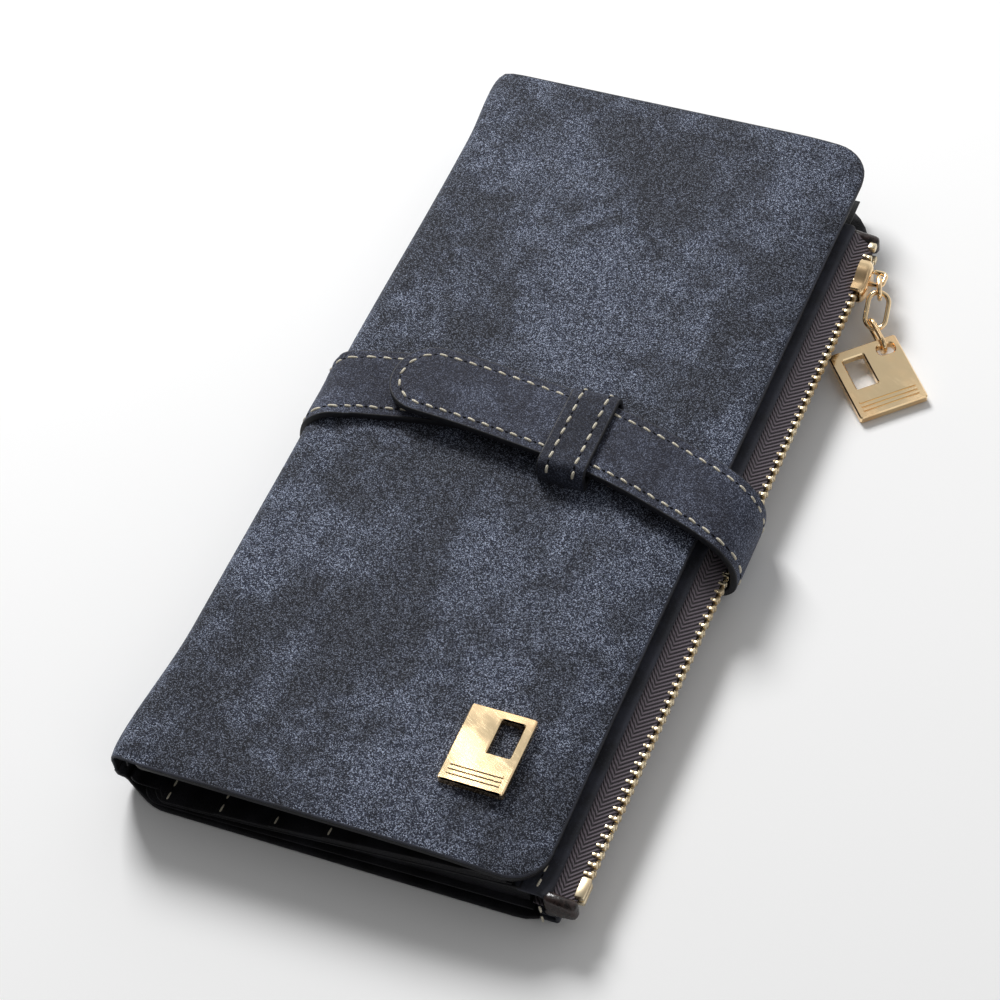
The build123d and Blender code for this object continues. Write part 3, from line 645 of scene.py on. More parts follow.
def outward_of(line, closed):
    """Unit vectors that point out of the sheet along a chain of its border."""
    run = np.zeros_like(line)
    run[1:-1] = unit(line[1:-1] - line[:-2]) + unit(line[2:] - line[1:-1])
    run[0] = line[1] - line[0]
    run[-1] = line[-1] - line[-2]
    if closed:
        run[0] = run[-1] = unit(line[1] - line[0]) + unit(line[-1] - line[-2])
    run = unit(run)
    outward = np.column_stack([-run[:, 1], run[:, 0]])
    if not closed:
        for k in (0, -1):
            outward[k] = (0, np.sign(outward[k, 1]))
    return outward


def loft_faces(rows, count):
    """Quads between rows of closed rings that have count points each."""
    faces = []
    for row in range(rows - 1):
        low, high = row * count, (row + 1) * count
        for k in range(count):
            after = (k + 1) % count
            faces.append((low + k, low + after, high + after, high + k))
    return faces


def sheet(name, way, u_range, v_range, thickness, materials, corners=(0, 0, 0, 0),
          joined=(False, False), rim=None, step=2.0, rows=12, sides=None, relief=None, warp=None,
          sharp=50):
    """A closed sheet with rounded edges along a way.

    corners are the radii at (start low, start high, end low, end high); joined ends stay cut
    square, to meet the next piece. sides(u) gives how much each long side is drawn in, relief
    (u, v, distance from the edge) how far the outer face rises, and warp moves the places.
    """
    rim = thickness / 2 if rim is None else rim
    low_u = u_range[0] + (0 if joined[0] else rim)
    high_u = u_range[1] - (0 if joined[1] else rim)
    inner = [max(radius - rim, 0.0) for radius in corners]
    u = stations(low_u, high_u, step, max(inner[:2]), max(inner[2:]))
    low_cut = np.maximum(cut_back(u - low_u, inner[0]), cut_back(high_u - u, inner[2]))
    high_cut = np.maximum(cut_back(u - low_u, inner[1]), cut_back(high_u - u, inner[3]))
    drawn = sides(u) if sides else np.zeros_like(u)
    low = v_range[0] + rim + low_cut + drawn
    high = v_range[1] - rim - high_cut - drawn
    share = np.linspace(0, 1, rows + 1)
    share = share - 0.35 * np.sin(2 * pi * share) / (2 * pi)
    grid_u = np.repeat(u[:, None], rows + 1, axis=1)
    grid_v = low[:, None] + (high - low)[:, None] * share[None, :]
    columns, count = grid_u.shape
    index = np.arange(columns * count).reshape(columns, count)
    chains = border_chains(index, joined)
    flat_uv = np.column_stack([grid_u.ravel(), grid_v.ravel()])
    border = flat_uv[np.concatenate([np.array(c) for c in chains])]
    spots = np.column_stack([flat_uv, np.zeros(len(flat_uv))])
    under = np.column_stack([flat_uv, np.full(len(flat_uv), thickness)])
    if relief is not None:
        gap = np.array([np.sqrt(((border - p) ** 2).sum(1).min()) for p in flat_uv])
        spots[:, 2] -= relief(flat_uv[:, 0], flat_uv[:, 1], gap)
    points = [spots, under]
    total = 2 * len(flat_uv)
    faces, kinds = [], []
    for a in range(columns - 1):
        for b in range(count - 1):
            quad = (index[a, b], index[a, b + 1], index[a + 1, b + 1], index[a + 1, b])
            faces.append(quad)
            faces.append(tuple(k + len(flat_uv) for k in quad[::-1]))
            kinds += [0, len(materials) - 1]
    profile = rim_profile(thickness, rim)
    ends = []
    for chain in chains:
        closed = chain[0] == chain[-1]
        line = flat_uv[chain]
        outward = outward_of(line, closed)
        length = len(chain) - 1 if closed else len(chain)
        loops = [list(chain[:length])]
        for out, depth in profile:
            ring = np.column_stack([line[:length] + outward[:length] * out, np.full(length, depth)])
            top_z = spots[chain[:length], 2]
            ring[:, 2] += top_z * (1 - depth / thickness)
            points.append(ring)
            loops.append(list(range(total, total + length)))
            total += length
        loops.append([k + len(flat_uv) for k in chain[:length]])
        for upper, lower in zip(loops, loops[1:]):
            for k in range(length if closed else length - 1):
                after = (k + 1) % length
                faces.append((upper[k], upper[after], lower[after], lower[k]))
                kinds.append(1)
        if not closed:
            ends += [[loop[0] for loop in loops], [loop[-1] for loop in loops]]
    for column, is_joined in ((0, joined[0]), (columns - 1, joined[1])):
        if is_joined:
            for b in range(count - 1):
                top = index[column, b], index[column, b + 1]
                faces.append((top[0], top[1], top[1] + len(flat_uv), top[0] + len(flat_uv)))
                kinds.append(1)
    for end in ends:
        faces.append(tuple(end))
        kinds.append(1)
    places = way.place(np.vstack(points))
    if warp is not None:
        places = warp(places)
    if len(materials) == 1:
        kinds = [0] * len(kinds)
    faces = [tuple(int(k) for k in face) for face in faces]
    return mesh_piece(name, places, faces, materials, kinds, sharp)


def capsule(length, radius, sides=6, rings=6):
    """Points and faces of a small thread: rings from end to end, (along, side, up)."""
    points, faces = [(-length / 2, 0, -radius * 0.6)], []
    for k in range(1, rings):
        share = -1 + 2 * k / rings
        size = radius * sqrt(max(0.0, 1 - share ** 4))
        lift = radius * (0.55 * (1 - share * share) - 0.35)
        for m in range(sides):
            turn = 2 * pi * m / sides
            points.append((share * length / 2, size * cos(turn), size * sin(turn) + lift))
    points.append((length / 2, 0, -radius * 0.6))
    last = len(points) - 1
    for m in range(sides):
        after = (m + 1) % sides
        faces.append((0, 1 + after, 1 + m))
        for k in range(rings - 2):
            low = 1 + k * sides
            faces.append((low + m, low + after, low + sides + after, low + sides + m))
        faces.append((last, last - sides + m, last - sides + after))
    return np.array(points), faces


class Stitching:
    """Collects stitches for one piece, then makes one mesh of thread and of near-black capsules painted as
    the shade in the holes.
    """

    def __init__(self, way, depth=None):
        self.way = way
        self.depth = depth
        self.points, self.faces, self.kinds = [], [], []
        self.total = 0
        self.draw = random.Random(7)

    def add(self, shape, kind, spot, direction, sunk):
        """One thread, or one near-black capsule painted as hole shade, at (along, across) on the way's
        outer face.
        """
        points, faces = shape
        c, s = cos(direction), sin(direction)
        flat = np.column_stack([
            spot[0] + points[:, 0] * c - points[:, 1] * s,
            spot[1] + points[:, 0] * s + points[:, 1] * c,
            np.full(len(points), sunk) - points[:, 2],
        ])
        if self.depth is not None:
            flat[:, 2] -= self.depth(flat[:, 0], flat[:, 1])
        self.points.append(self.way.place(flat))
        self.faces += [tuple(k + self.total for k in face) for face in faces]
        self.kinds += [kind] * len(faces)
        self.total += len(points)

    def row(self, line, pitch=STITCH_PITCH, length=STITCH_LENGTH, radius=STITCH_RADIUS, slant=7.0):
        """A row of stitches along a line of (along, across) points."""
        line = np.asarray(line, float)
        steps = distances(line)
        count = max(1, round(steps[-1] / pitch))
        pitch = steps[-1] / count
        length = min(length, pitch * 0.7)
        # Each second capsule is near-black: painted shade in the punched hole between two stitches.
        thread_shape, hole_shade_shape = capsule(length, radius), capsule(pitch - length + 0.1, radius * 0.9)
        for k in range(count):
            for share, shape, kind, sunk in ((0.5, thread_shape, 0, 0.02), (1.0, hole_shade_shape, 1, 0.16)):
                if kind and k == count - 1:
                    continue
                place = (k + share) * pitch + (self.draw.uniform(-0.06, 0.06) if kind == 0 else 0)
                spot, ahead, behind = (
                    [np.interp(place + off, steps, line[:, m]) for m in (0, 1)] for off in (0, 0.4, -0.4)
                )
                heading = np.arctan2(ahead[1] - behind[1], ahead[0] - behind[0])
                if kind == 0:
                    heading += radians(slant + self.draw.uniform(-2.5, 2.5))
                self.add(shape, kind, spot, heading, sunk)

    def make(self, name, warp=None):
        """The finished stitches as one piece."""
        points = np.vstack(self.points)
        if warp is not None:
            points = warp(points)
        # Thread first, then the near-black capsules of painted hole shade.
        return mesh_piece(name, points, self.faces, [THREAD, STITCH_HOLE_SHADE], self.kinds, sharp=80)


def smooth(value, low, high):
    """0 before low, 1 past high, and a smooth step between."""
    share = np.clip((value - low) / (high - low), 0, 1)
    return share * share * (3 - 2 * share)


def metres(*point):
    """A point in metres."""
    return tuple(value * MM for value in point)


def hinge(name):
    """A joint's place in millimetres."""
    return np.array(RECORD_JOINTS[name]["pos_m"]) / MM


# ---- the body's soft shape ----
def bowed(places):
    """The fold drawn in halfway along, where the strap holds it."""
    moved = places.copy()
    share = 1 - smooth(places[:, 0], -43.5, -30)
    y = places[:, 1]
    flare = FOLD_FLARE_NEAR * smooth(-y, 62, 92) + FOLD_FLARE_FAR * smooth(y, 74, 93)
    moved[:, 0] += share * (SPINE_BOW - flare)
    return moved


def near_sag(places):
    """The badge end of the free edge hangs a little lower, cover and lip together."""
    x, y = places[:, 0], places[:, 1]
    moved = places.copy()
    share = smooth(x, 8, 46) * smooth(-y, 45, 96) * smooth(places[:, 2], 6.0, 10.5)
    moved[:, 2] -= NEAR_SAG * share
    return moved


def uneven(x, y):
    """Gentle waves of soft leather over its board."""
    across = np.sin(x * 0.11 + 0.6) * np.sin(y * 0.07 + 1.1)
    return BOARD_WAVE * (across + 0.6 * np.sin(x * 0.05 - y * 0.09))


def fold_ends(u_from, u_to):
    """How the skin's two ends draw in towards the fold."""
    def drawn(u):
        return FOLD_END_INSET * smooth(u, u_from, u_to) ** 1.3
    return drawn


def make_cover():
    """Cover skin from the free edge over the fold to the middle of the spine, and its inside."""
    turn = (COVER_EDGE_X - DROOP_START_X) / DROOP_RADIUS
    drop = DROOP_RADIUS * tan(turn / 2)
    edge_z = COVER_TOP_Z - DROOP_RADIUS * (1 - cos(turn))
    way = Way(rounded_line(
        [(COVER_EDGE_X, edge_z), (DROOP_START_X + drop, COVER_TOP_Z), (SPINE_X, COVER_TOP_Z),
         (SPINE_X - SPINE_BULGE, SPINE_MIDDLE_Z)],
        [DROOP_RADIUS, FOLD_RADIUS],
    ))
    fold_u = way.at_x(SPINE_X + FOLD_RADIUS + 4)

    def relief(u, v, gap):
        pressed = PINCH * np.exp(-gap / PINCH_REACH)
        return uneven(COVER_EDGE_X - u, v) * smooth(gap, 0, 12) - pressed

    def settle_edge(places):
        return bowed(near_sag(places))

    skin = sheet(
        "cover_skin", way, (0, way.length), (-HALF_LENGTH, HALF_LENGTH), SKIN * 0.8,
        [NUBUCK, DARK_NUBUCK, LINING_LEATHER], corners=(COVER_CORNER, COVER_CORNER, 0, 0),
        joined=(False, True), rows=80, sides=fold_ends(fold_u, way.length), relief=relief,
        warp=settle_edge,
    )
    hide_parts("cover_leather", "cover_board")
    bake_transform(skin)

    inner_way = Way(rounded_line(
        [(COVER_EDGE_X - 0.15, edge_z - INNER_STEP), (DROOP_START_X + drop, COVER_TOP_Z - INNER_STEP),
         (-39.5, COVER_TOP_Z - INNER_STEP)], [DROOP_RADIUS - 1],
    ))
    inner = sheet(
        "cover_inner", inner_way, (0, inner_way.length), (-HALF_LENGTH + 0.2, HALF_LENGTH - 0.2), 1.5,
        [LINING_LEATHER], corners=(COVER_CORNER - 0.2, COVER_CORNER - 0.2, 3, 3), rim=0.5,
        rows=60, step=2.5, warp=settle_edge,
    )
    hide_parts("cover_lining")
    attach(inner, "cover")


def make_back():
    """Back skin from the middle of the spine under the fold to the zip edge."""
    way = Way(rounded_line(
        [(SPINE_X - SPINE_BULGE, SPINE_MIDDLE_Z), (SPINE_X, 0.0), (BACK_EDGE_X, 0.0)],
        [FOLD_RADIUS * 0.8],
    ))
    flat_u = way.at_x(SPINE_X + FOLD_RADIUS + 6)
    fold_u = way.at_x(SPINE_X + 0.3)

    def drawn(u):
        down = FOLD_END_INSET + (LOWER_FOLD_INSET - FOLD_END_INSET) * smooth(u, 0, fold_u)
        return down * (1 - smooth(u, fold_u, flat_u)) ** 1.2

    def press(places):
        """The shallow channel that the strap lies in."""
        moved = places.copy()
        off = np.abs(places[:, 1] - strap_y(places[:, 0]))
        share = (1 - smooth(off, *CHANNEL_HALF)) * (places[:, 2] < 2.5) * smooth(places[:, 0], -40, -36)
        moved[:, 2] += CHANNEL_DEPTH * share
        return bowed(moved)

    skin = sheet(
        "back_skin", way, (0, way.length), (-HALF_LENGTH, HALF_LENGTH), SKIN * 0.9,
        [NUBUCK, LINING_LEATHER, LINING_LEATHER], corners=(0, 0, 8, 14), joined=(True, False),
        rows=120, step=1.5, sides=drawn,
        relief=lambda u, v, gap: -0.15 * np.exp(-gap / 1.6), warp=press,
    )
    far = np.array([v.co for v in skin.data.vertices])
    far[:, 1] -= (BACK_FAR_TRIM * MM) * smooth(far[:, 1] / MM, 40, HALF_LENGTH)
    skin.data.vertices.foreach_set("co", far.ravel())
    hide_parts("back_leather", "spine_leather", "back_padding", "back_board")
    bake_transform(skin)


def make_fold_lining():
    """Black leather inside the fold, in two pieces that meet at the middle of the spine."""
    upper = Way(rounded_line([(-36.5, 12.2), (-42.2, 12.2), (FOLD_LINING_X, SPINE_MIDDLE_Z)], [2.2]))
    lower = Way(rounded_line([(FOLD_LINING_X, SPINE_MIDDLE_Z), (-42.0, 4.6), (-36.5, 4.45)], [1.8]))
    span = (-HALF_LENGTH + 3.2, BACK_FAR_Y - 1.5)
    top = sheet("fold_lining_upper", upper, (0, upper.length), span, FOLD_LINING, [LINING_LEATHER],
                joined=(False, True), rows=40, step=0.8, warp=bowed)
    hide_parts("spine_lining")
    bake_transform(top)
    bottom = sheet("fold_lining_lower", lower, (0, lower.length), span, FOLD_LINING, [LINING_LEATHER],
                   joined=(True, False), rows=40, step=0.8, warp=lambda p: bowed(settled(p)))
    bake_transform(bottom)


def settled(places):
    """The inner layers lie lower towards the fold, where nothing fills the pocket."""
    moved = places.copy()
    share = (1 - smooth(places[:, 0], -48, 42)) * (places[:, 2] < 11)
    moved[:, 2] -= (SETTLE + SETTLE_PER_MM * (places[:, 2] - SETTLE_FROM_Z)) * share
    return moved


# ---- cards and pocket ----
def node_sheet(node, body, thickness, near=None, seam_x=None):
    """A leather sheet where a thin CAD node is, read from its box, top face up."""
    low, high = (np.array(corner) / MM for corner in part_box(node))
    low[1] = near or low[1]
    low[0] = seam_x - 1.0 if seam_x else low[0]
    left, right = (low[0], low[2] + thickness), (high[0], high[2])
    way = Way([right, left])
    piece = sheet(
        f"{node}_leather", way, (0, way.length), (low[1], high[1]), thickness, [LINING_LEATHER],
        corners=(0, 0, 4, 4) if near and not seam_x else (0, 0, 0, 0), rows=30, step=3.0, warp=settled,
    )
    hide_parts(node)
    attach(piece, body)
    if seam_x:
        stitches = Stitching(way)
        u = high[0] - seam_x
        stitches.row([(u, low[1] + 0.1), (u, high[1] - 2.5)], pitch=3.0, length=2.4, radius=0.2, slant=4)
        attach(stitches.make(f"{node}_stitching", settled), body)


def make_inside():
    """Pocket floor and roof, card panel and leaves with their stitched hems."""
    node_sheet("pocket_floor", "back", 0.4, near=LIP_NEAR_Y)
    node_sheet("pocket_roof", "back", 0.5, near=LIP_NEAR_Y + 0.1)
    node_sheet("card_panel", "back", 0.4, near=LIP_NEAR_Y + 0.3)
    for number, seam_x in enumerate(LEAF_SEAMS, 1):
        node_sheet(f"back_card_leaf_{number}", "back", 0.4, near=LIP_NEAR_Y, seam_x=seam_x)
    for number in (1, 2):
        node_sheet(f"cover_card_leaf_{number}", "cover", 0.4)
    for end in ("near", "far"):
        gusset(end)


def gusset(end):
    """The pocket's end wall: soft leather folded between floor and roof."""
    node = f"pocket_gusset_{end}"
    low, high = (np.array(corner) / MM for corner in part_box(node))
    low[0] += GUSSET_BACK
    outline = rounded_line(
        [(low[0], low[2] + 0.35), (high[0], low[2] + 0.25), (high[0], high[2] - 0.4),
         (low[0] + 2, low[2] + 1.6)], [0.2, 0.6],
    )
    rows, count = 6, len(outline)
    points = [(x, y, z) for y in np.linspace(low[1], high[1], rows) for x, z in outline]
    faces = loft_faces(rows, count)
    faces += [tuple(range(count)), tuple(range((rows - 1) * count, rows * count))]
    places = settled(np.array(points))
    piece = mesh_piece(f"{node}_leather", places, faces, [LINING_LEATHER])
    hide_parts(node)
    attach(piece, "back")


# ---- zip ----
def make_lips():
    """Rolled leather lips above and below the zip, with a seam along the upper lip and a short seam down
    the near end.
    """
    upper = Way(rounded_line(
        [(41.8, 9.0), (LIP_EDGE_X, 9.0), (LIP_EDGE_X, LIP_TOP_Z), (36.5, LIP_TOP_Z)], [0.5, LIP],
        step=0.2,
    ))
    lower = Way(rounded_line(
        [(41.0, 1.05), (45.1, 1.05), (45.1, LIP_LOW_Z), (40.5, LIP_LOW_Z)], [0.8, 0.6], step=0.2,
    ))
    for node, way in (("upper_lip", upper), ("lower_lip", lower)):
        piece = sheet(
            f"{node}_roll", way, (0, way.length), (LIP_NEAR_Y, LIP_FAR_Y), LIP, [DARK_NUBUCK, DARK_NUBUCK],
            corners=(0.4, 0.4, 1.5, 4), rows=90, step=0.5, warp=near_sag,
        )
        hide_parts(node)
        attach(piece, "back")
    seam = Stitching(upper)
    u = upper.at_x(LIP_SEAM_X, upper.length - 7)
    seam.row([(u, LIP_NEAR_Y + 0.8), (u, LIP_FAR_Y - 3)], radius=FINE_STITCH)
    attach(seam.make("upper_lip_stitching", near_sag), "back")
    end_y = LIP_NEAR_Y - 0.55
    end_way = Way([(END_SEAM_X, end_y, 7.2), (END_SEAM_X + 0.2, end_y, 0.9)], across=(1, 0, 0))
    end_seam = Stitching(end_way)
    end_seam.row([(0, 0), (end_way.length, 0)], pitch=3.1, radius=FINE_STITCH)
    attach(end_seam.make("near_end_stitching"), "back")


def make_tapes():
    """The woven tapes from under the lips to the teeth."""
    for name, side in (("upper", 1), ("lower", -1)):
        points = [(48.2, 0.75), (47.9, 0.95), (44.6, 2.55), (43.4, 2.95), (39.6, 2.95)]
        points = [(x, ZIP_Z + side * z) for x, z in points]
        if side < 0:
            points = points[::-1]
        way = Way(rounded_line(points, [0.3, 1.5, 0.8] if side > 0 else [0.8, 1.5, 0.3], step=0.15))
        piece = sheet(
            f"zip_tape_{name}_cloth", way, (0, way.length), (LIP_NEAR_Y + 1.2, LIP_FAR_Y - 1), TAPE,
            [ZIP_TAPE], rows=80, step=0.4, rim=0.2,
            warp=near_sag if side > 0 else None,
        )
        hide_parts(f"zip_tape_{name}")
        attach(piece, "back")


def rounded_block(size, bevel):
    """Points and faces of a small block with rolled edges."""
    work = bmesh.new()
    bmesh.ops.create_cube(work, size=1.0)
    for vertex in work.verts:
        vertex.co = Vector([c * s for c, s in zip(vertex.co, size)])
    bmesh.ops.bevel(
        work, geom=list(work.edges), offset=bevel, segments=2, affect="EDGES", profile=0.5,
    )
    work.verts.ensure_lookup_table()
    points = np.array([list(v.co) for v in work.verts])
    faces = [tuple(v.index for v in face.verts) for face in work.faces]
    work.free()
    return points, faces


def many(name, shape, spots, node):
    """One metal piece made of the same small shape at many places."""
    points, faces = shape
    all_points = np.vstack([points + np.array(spot) for spot in spots])
    all_faces = [
        tuple(k + number * len(points) for k in face) for number in range(len(spots)) for face in faces
    ]
    piece = mesh_piece(name, all_points, all_faces, [PALE_GOLD], sharp=40)
    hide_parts(node)
    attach(piece, "back")


def tooth_shape(side):
    """One zip tooth: a rounded head past the tape's edge and a neck that grips the tape."""
    head, head_faces = rounded_block(TOOTH_HEAD, 0.2)
    neck, neck_faces = rounded_block(TOOTH_NECK, 0.16)
    neck = neck + np.array([-0.9, 0, 0.2 * side])
    points = np.vstack([head, neck])
    return points, head_faces + [tuple(k + len(head) for k in face) for face in neck_faces]


def make_teeth():
    """Both rows of teeth where the CAD rows are, parted beyond the slider."""
    for name, side in (("upper", 1), ("lower", -1)):
        offset = 0 if side > 0 else TOOTH_PITCH / 2
        spots = []
        for index in range(TOOTH_COUNT):
            y = FIRST_TOOTH_Y + offset + index * TOOTH_PITCH
            parted = TOOTH_PARTING * min(max((y - SLIDER_NEAR_Y - 2.5) / 3, 0), 1)
            spots.append((TOOTH_X, y, ZIP_Z + side * (TOOTH_OFF_MIDDLE + parted)))
        many(f"zip_teeth_{name}_metal", tooth_shape(side), spots, f"zip_teeth_{name}")


def channel(half, face, bend, y):
    """Evenly spaced points round one side of the slider's channel at y."""
    corners = [(SLIDER_BACK_X, -half), (face, -half), (face, half), (SLIDER_BACK_X, half)]
    line = rounded_line(corners, [bend, bend], step=0.2)
    along = distances(line)
    even = np.linspace(0, along[-1], CHANNEL_POINTS)
    x, z = (np.interp(even, along, line[:, k]) for k in (0, 1))
    return [(a, y, ZIP_Z + b) for a, b in zip(x, z)]


def make_slider():
    """Cast slider: a channel round the teeth that narrows to a waist, its inner plate and post."""
    near, far = SLIDER_NEAR_Y, SLIDER_NEAR_Y + SLIDER_LENGTH
    from_end = np.array([0.0, 0.08, 0.3, 0.7, 1.2])
    lines = [*(near + from_end), *np.linspace(near + 1.7, far - 1.7, 10), *(far - from_end[::-1])]
    points = []
    for y in lines:
        rolled = 0.22 * (1 - smooth(min(y - near, far - y), 0.0, 0.3))
        half = 2.05 + 1.2 * smooth(y, near + 1.6, near + 5.2) - 0.45 * smooth(y, far - 1.5, far) - rolled
        dip = 0.55 * (1 - smooth(y, near, near + 1.6)) + 0.7 * smooth(y, far - 2.0, far)
        face = SLIDER_FACE_X - dip - rolled
        points += channel(half, face, 0.95, y)
        inner_face = min(face - 0.5, 49.6) + rolled
        points += channel(half - SLIDER_WALL + rolled * 1.4, inner_face, 0.5, y)[::-1]
    count = len(points) // len(lines)
    faces = loft_faces(len(lines), count)
    for base in (0, len(points) - count):
        for k in range(count // 2 - 1):
            faces.append((base + k, base + k + 1, base + count - 2 - k, base + count - 1 - k))
    points = np.array(points)
    plate = (0.7, 5.6, 1.2), (46.35, near + 5.0, ZIP_Z)
    post = (3.8, 1.6, 0.5), (48.5, far - 1.1, ZIP_Z)
    for size, spot in (plate, post):
        block, block_faces = rounded_block(size, 0.2)
        faces += [tuple(k + len(points) for k in face) for face in block_faces]
        points = np.vstack([points, block + np.array(spot)])
    piece = mesh_piece("slider_casting", points, faces, [GOLD], sharp=38)
    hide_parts("slider_body")
    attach(piece, "slider")


def make_zip_ends():
    """Bottom stop of two crimped bars, top stops, and the waxed tape ends."""
    bar = rounded_block((1.9, 4.4, 1.35), 0.3)
    stop = rounded_block((1.6, 1.6, 1.4), 0.28)
    stops = ("zip_bottom_stop", bar, -89.6, 0.8), ("zip_top_stops", stop, 73.7, 1.9)
    for node, shape, y, off in stops:
        many(f"{node}_metal", shape, [(ZIP_END_X, y, ZIP_Z + side * off) for side in (1, -1)], node)
    for end, y, long in (("near", -93.9, 2.4), ("far", 76.2, 2.2)):
        points, faces = rounded_block((6.4, long, 5.6), 0.9)
        points[:, 2] *= 1 - 0.34 * smooth(points[:, 0], -1.0, 3.2)
        points += np.array([TAB_X, y, ZIP_Z])
        piece = mesh_piece(
            f"zip_tab_{end}_wax", points, faces, [TAPE_END], sharp=60,
        )
        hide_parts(f"zip_tab_{end}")
        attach(piece, "back")


# ---- belt strap ----
def strap_y(x):
    """Centre line of the strap across the back, from the fold to the zip edge."""
    share = (np.asarray(x) + 42.9) / 86.4
    return 1.0 + share * -7.6


def belt_way():
    """The whole strap's outer face: cover, spine, back, round the zip edge, and the tongue."""
    run = [(x, strap_y(x), 0.3) for x in (-30, -10, 10, 30, 41)]
    return Way(spline([
        (-2, 6.0, 16.9), (-11, 5.9, 16.8), (-20, 5.0, 16.7), (-29.5, 3.2, 16.65), (-35.5, 1.9, 16.6),
        (-39.8, 0.3, 16.1), (-42.7, -0.9, 13.9), (-43.9, -1.2, 10.6), (-44.2, -1.0, 7.5),
        (-43.9, -0.4, 4.4), (-42.7, 0.4, 1.6), (-39.2, 1.0, 0.4), *run,
        (45.0, -6.7, 0.6), (48.1, -7.1, 1.6), (50.2, -7.3, 4.0), (50.9, -7.4, 7.2), (50.5, -7.2, 10.4),
        (48.9, -6.9, 13.2), (46.2, -6.2, 15.2), (41.8, -5.0, 16.7), (34, -3.0, 17.9), (24, -0.6, 18.9),
        (13, 1.4, 19.3), (0, 3.1, 19.3), (-14, 4.5, 19.3), (-28.5, 5.3, 19.2),
    ]))


def strip_rows(stitches, u0, u1):
    """Two rows of stitches along a strap, beside its edges."""
    side = STRAP_WIDTH / 2 - STITCH_MARGIN
    for v in (-side, side):
        stitches.row([(u, v) for u in np.linspace(u0, u1, 40)])


def make_belt():
    """The strap in five pieces, each made to reach across one joint."""
    way = belt_way()
    middle_back = way.at_x(0.0, way.at_x(-42))
    bottom = way.at_x(44.0, middle_back)
    turns = [hinge(f"strap_turn_{k}") for k in (1, 2, 3)]

    def beside(point, start):
        """The distance along the way nearest to a point, past start."""
        gap = np.linalg.norm((way.points - point)[:, [0, 2]], axis=1)
        gap[way.distance < start] = 1e9
        return way.distance[int(np.argmin(gap))]

    marks = [beside(turn, bottom - 3) for turn in turns]
    mid_1, mid_2 = (marks[0] + marks[1]) / 2, (marks[1] + marks[2]) / 2
    spine_u = beside(np.array([-44.2, 0, SPINE_MIDDLE_Z]), 0)
    half = STRAP_WIDTH / 2
    cuts = [
        ("strap_cover_belt", 0.0, spine_u, ("spine", "cover"), "strap_cover_run", (False, True),
         (metres(-44.5, 0, 9.0), metres(-38.5, 0, 16.0))),
        ("strap_spine_belt", spine_u, middle_back, ("back", "spine"), "strap_spine_run", (True, True),
         (metres(-38.5, 0, 0), metres(-44.5, 0, 6.0))),
    ]
    ends = [
        ("strap_back_belt", middle_back, mid_1, ("back", "strap_1"), "strap_back_run", (True, True)),
        ("strap_turn_belt", mid_1, mid_2, ("strap_1", "strap_2"), "strap_link_1", (True, True)),
        ("strap_tongue_belt", mid_2, way.length, ("strap_2", "tongue"), "strap_tongue", (True, False)),
    ]
    reach = (marks[1] - marks[0]) / 2
    for cut, mark in zip(ends, marks):
        low, high = (way.place([(mark + side * reach, 0, STRAP / 2)])[0] for side in (-1, 1))
        cuts.append((*cut, (metres(*low), metres(*high))))
    tips = {
        "strap_cover_belt": (STRAP_TIP, STRAP_TIP, 0, 0),
        "strap_tongue_belt": (0, 0, STRAP_TIP, STRAP_TIP),
    }

    def crown(u, v, gap):
        """The strap's swell, with a groove just outside its stitches."""
        return 0.16 * smooth(gap, 0.3, 3.2) - 0.10 * np.exp(-((gap - STITCH_MARGIN + 0.5) / 0.5) ** 2)

    for name, u0, u1, bodies, node, joined, (start, end) in cuts:
        piece = sheet(
            name, way, (u0, u1), (-half, half), STRAP, [STRAP_NUBUCK, EDGE_PAINT, LINING_LEATHER],
            corners=tips.get(name, (0, 0, 0, 0)), joined=joined, rim=0.3, rows=16, step=0.8,
            relief=crown,
        )
        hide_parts(node, *(["strap_link_2"] if node == "strap_tongue" else []))
        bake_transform(piece)
        stitches = Stitching(way)
        if name == "strap_tongue_belt":
            tongue_rows(stitches, u0, u1)
        else:
            strip_rows(stitches, u0 + (COVER_STITCH_START if name == "strap_cover_belt" else 0), u1)
        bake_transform(stitches.make(name + "_stitching"))


def tongue_rows(stitches, u0, u1):
    """Stitches along both edges of the tongue and round its tip."""
    side = STRAP_WIDTH / 2 - STITCH_MARGIN
    centre = u1 - STRAP_WIDTH / 2
    turn = np.linspace(-pi / 2, pi / 2, 30)
    line = [(u, -side) for u in np.linspace(u0, centre, 60)]
    line += [(centre + side * cos(a), side * sin(a)) for a in turn[1:-1]]
    line += [(u, side) for u in np.linspace(centre, u0, 60)]
    stitches.row(line)


def make_keeper():
    """The loop: a leather band round the strap, its ends down on the cover."""
    (low_y, high_y), (low_z, top_z) = KEEPER_Y, KEEPER_Z
    seam = ((low_y + high_y) / 2, low_z)
    corners = [seam, (low_y, low_z), (low_y, top_z), (high_y, top_z), (high_y, low_z), seam]
    line = rounded_line(corners, [0.5, 2.3, 2.3, 0.5], step=0.2)
    way = Way([(KEEPER_X, y, z) for y, z in line], across=(1, 0, 0))
    piece = sheet(
        "keeper_loop", way, (0, way.length), (-KEEPER_WIDTH / 2, KEEPER_WIDTH / 2), KEEPER,
        [KEEPER_NUBUCK, EDGE_PAINT, LINING_LEATHER], joined=(True, True), rim=0.3, rows=10, step=0.7,
        relief=lambda u, v, gap: 0.12 * smooth(gap, 0.2, 2.0),
    )
    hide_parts("keeper")
    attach(piece, "cover")
    stitches = Stitching(way, lambda u, v: 0.1)
    start = way.length / 2 - 12.5
    for v in (-KEEPER_ROW, KEEPER_ROW):
        stitches.row([(start, v), (way.length - start, v)])
    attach(stitches.make("keeper_stitching"), "cover")


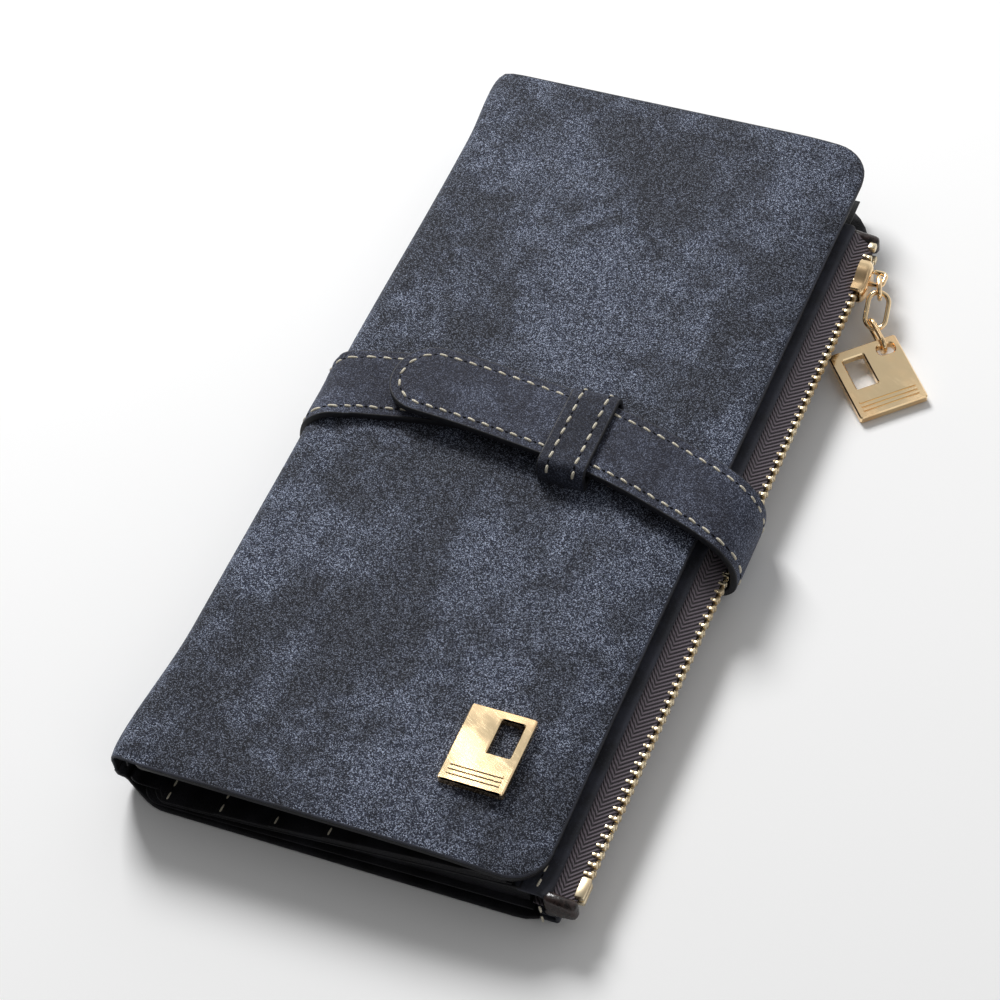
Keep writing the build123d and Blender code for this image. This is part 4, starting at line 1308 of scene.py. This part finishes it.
# ---- materials on CAD nodes ----
def crowned(name, tilt, axis, rising=False):
    """Bright gold whose face is very slightly crowned, so that its shine runs across it."""
    material = GOLD.copy()
    material.name = name
    n = Tree(material.node_tree)
    normal = n.tree.nodes["Principled BSDF"].inputs["Normal"]
    along = n.split(n.within())[axis]
    height = n.maths("POWER", along if rising else n.maths("SUBTRACT", 1.0, along), 2.0)
    n.put(n.bump(height, tilt, under=normal.links[0].from_socket), normal)
    return material


def dress(nodes, material):
    """Give CAD nodes that keep their shape a detailed material."""
    for name in nodes:
        mesh = NODES[name].data
        mesh.materials.clear()
        mesh.materials.append(material)


# ---- stage ----
def place_camera():
    """The camera that looks down on the wallet from the badge end."""
    azimuth, elevation, roll = map(radians, (CAMERA_AZIMUTH, CAMERA_ELEVATION, CAMERA_ROLL))
    back = Vector((sin(azimuth) * cos(elevation), -cos(azimuth) * cos(elevation), sin(elevation)))
    right = Vector((cos(azimuth), sin(azimuth), 0))
    up = back.cross(right)
    turned_right = right * cos(roll) + up * sin(roll)
    turned_up = up * cos(roll) - right * sin(roll)
    camera = bpy.data.objects.new("camera", bpy.data.cameras.new("camera"))
    camera.data.lens, camera.data.sensor_width = CAMERA_LENS, CAMERA_SENSOR
    camera.data.clip_start, camera.data.clip_end = 0.05, 20.0
    spot = Vector(CAMERA_TARGET) * MM + back * CAMERA_DISTANCE * MM
    for row in range(3):
        camera.matrix_world[row] = (turned_right[row], turned_up[row], back[row], spot[row])
    SCENE.collection.objects.link(camera)
    SCENE.camera = camera


def area_light(name, place, size, power):
    """A soft box aimed at the wallet."""
    light = bpy.data.lights.new(name, "AREA")
    light.shape = "RECTANGLE"
    light.size, light.size_y = size
    light.energy = power
    lamp = bpy.data.objects.new(name, light)
    lamp.location = place
    lamp.rotation_euler = (-Vector(place)).to_track_quat("-Z", "Y").to_euler()
    SCENE.collection.objects.link(lamp)


def surround():
    """An even white room with soft darker bands, so that metal has something to mirror."""
    world = bpy.data.worlds.new("surround")
    world.use_nodes = True
    n = Tree(world.node_tree)
    background = n.tree.nodes["Background"]
    background.inputs["Color"].default_value = (1, 1, 1, 1)
    towards = n.within()
    bands = n.spread(n.noise(towards, 1.3, 1.0, 0.5), 0.38, 0.62, -0.16, 0.16)
    behind = n.maths("MULTIPLY_ADD", n.split(towards)["Y"], 0.3, 0.36)
    n.put(n.plus(behind, bands), background.inputs["Strength"])
    return world


def make_stage():
    """Pale table, soft boxes and an even surround."""
    bpy.ops.mesh.primitive_plane_add(size=6, location=(0, 0, -0.0001))
    floor = bpy.context.object
    floor.name = "floor"
    floor.data.materials.append(floor_material())
    SCENE.world = surround()
    area_light("key", (-0.62, 0.72, 0.78), (0.42, 0.42), 15.5)
    area_light("fill", (0.75, -0.55, 0.7), (0.7, 0.5), 0.5)
    SCENE.view_settings.view_transform = "Standard"


# ---- build ----
make_cover()
make_back()
make_fold_lining()
make_inside()
make_lips()
make_tapes()
make_teeth()
make_slider()
make_zip_ends()
make_belt()
make_keeper()
dress(["slider_crown", "pull_bail", "pull_ring_1", "pull_ring_2", "badge_washers"], GOLD)
dress(["badge_plate"], crowned("crowned_gold", 0.42, "Y"))
dress(["charm"], crowned("charm_gold", 1.3, "X", rising=True))
dress(["window_pane"], CLEAR_SHEET)
dress(["window_frame"], FRAME_LEATHER)
place_camera()
make_stage()
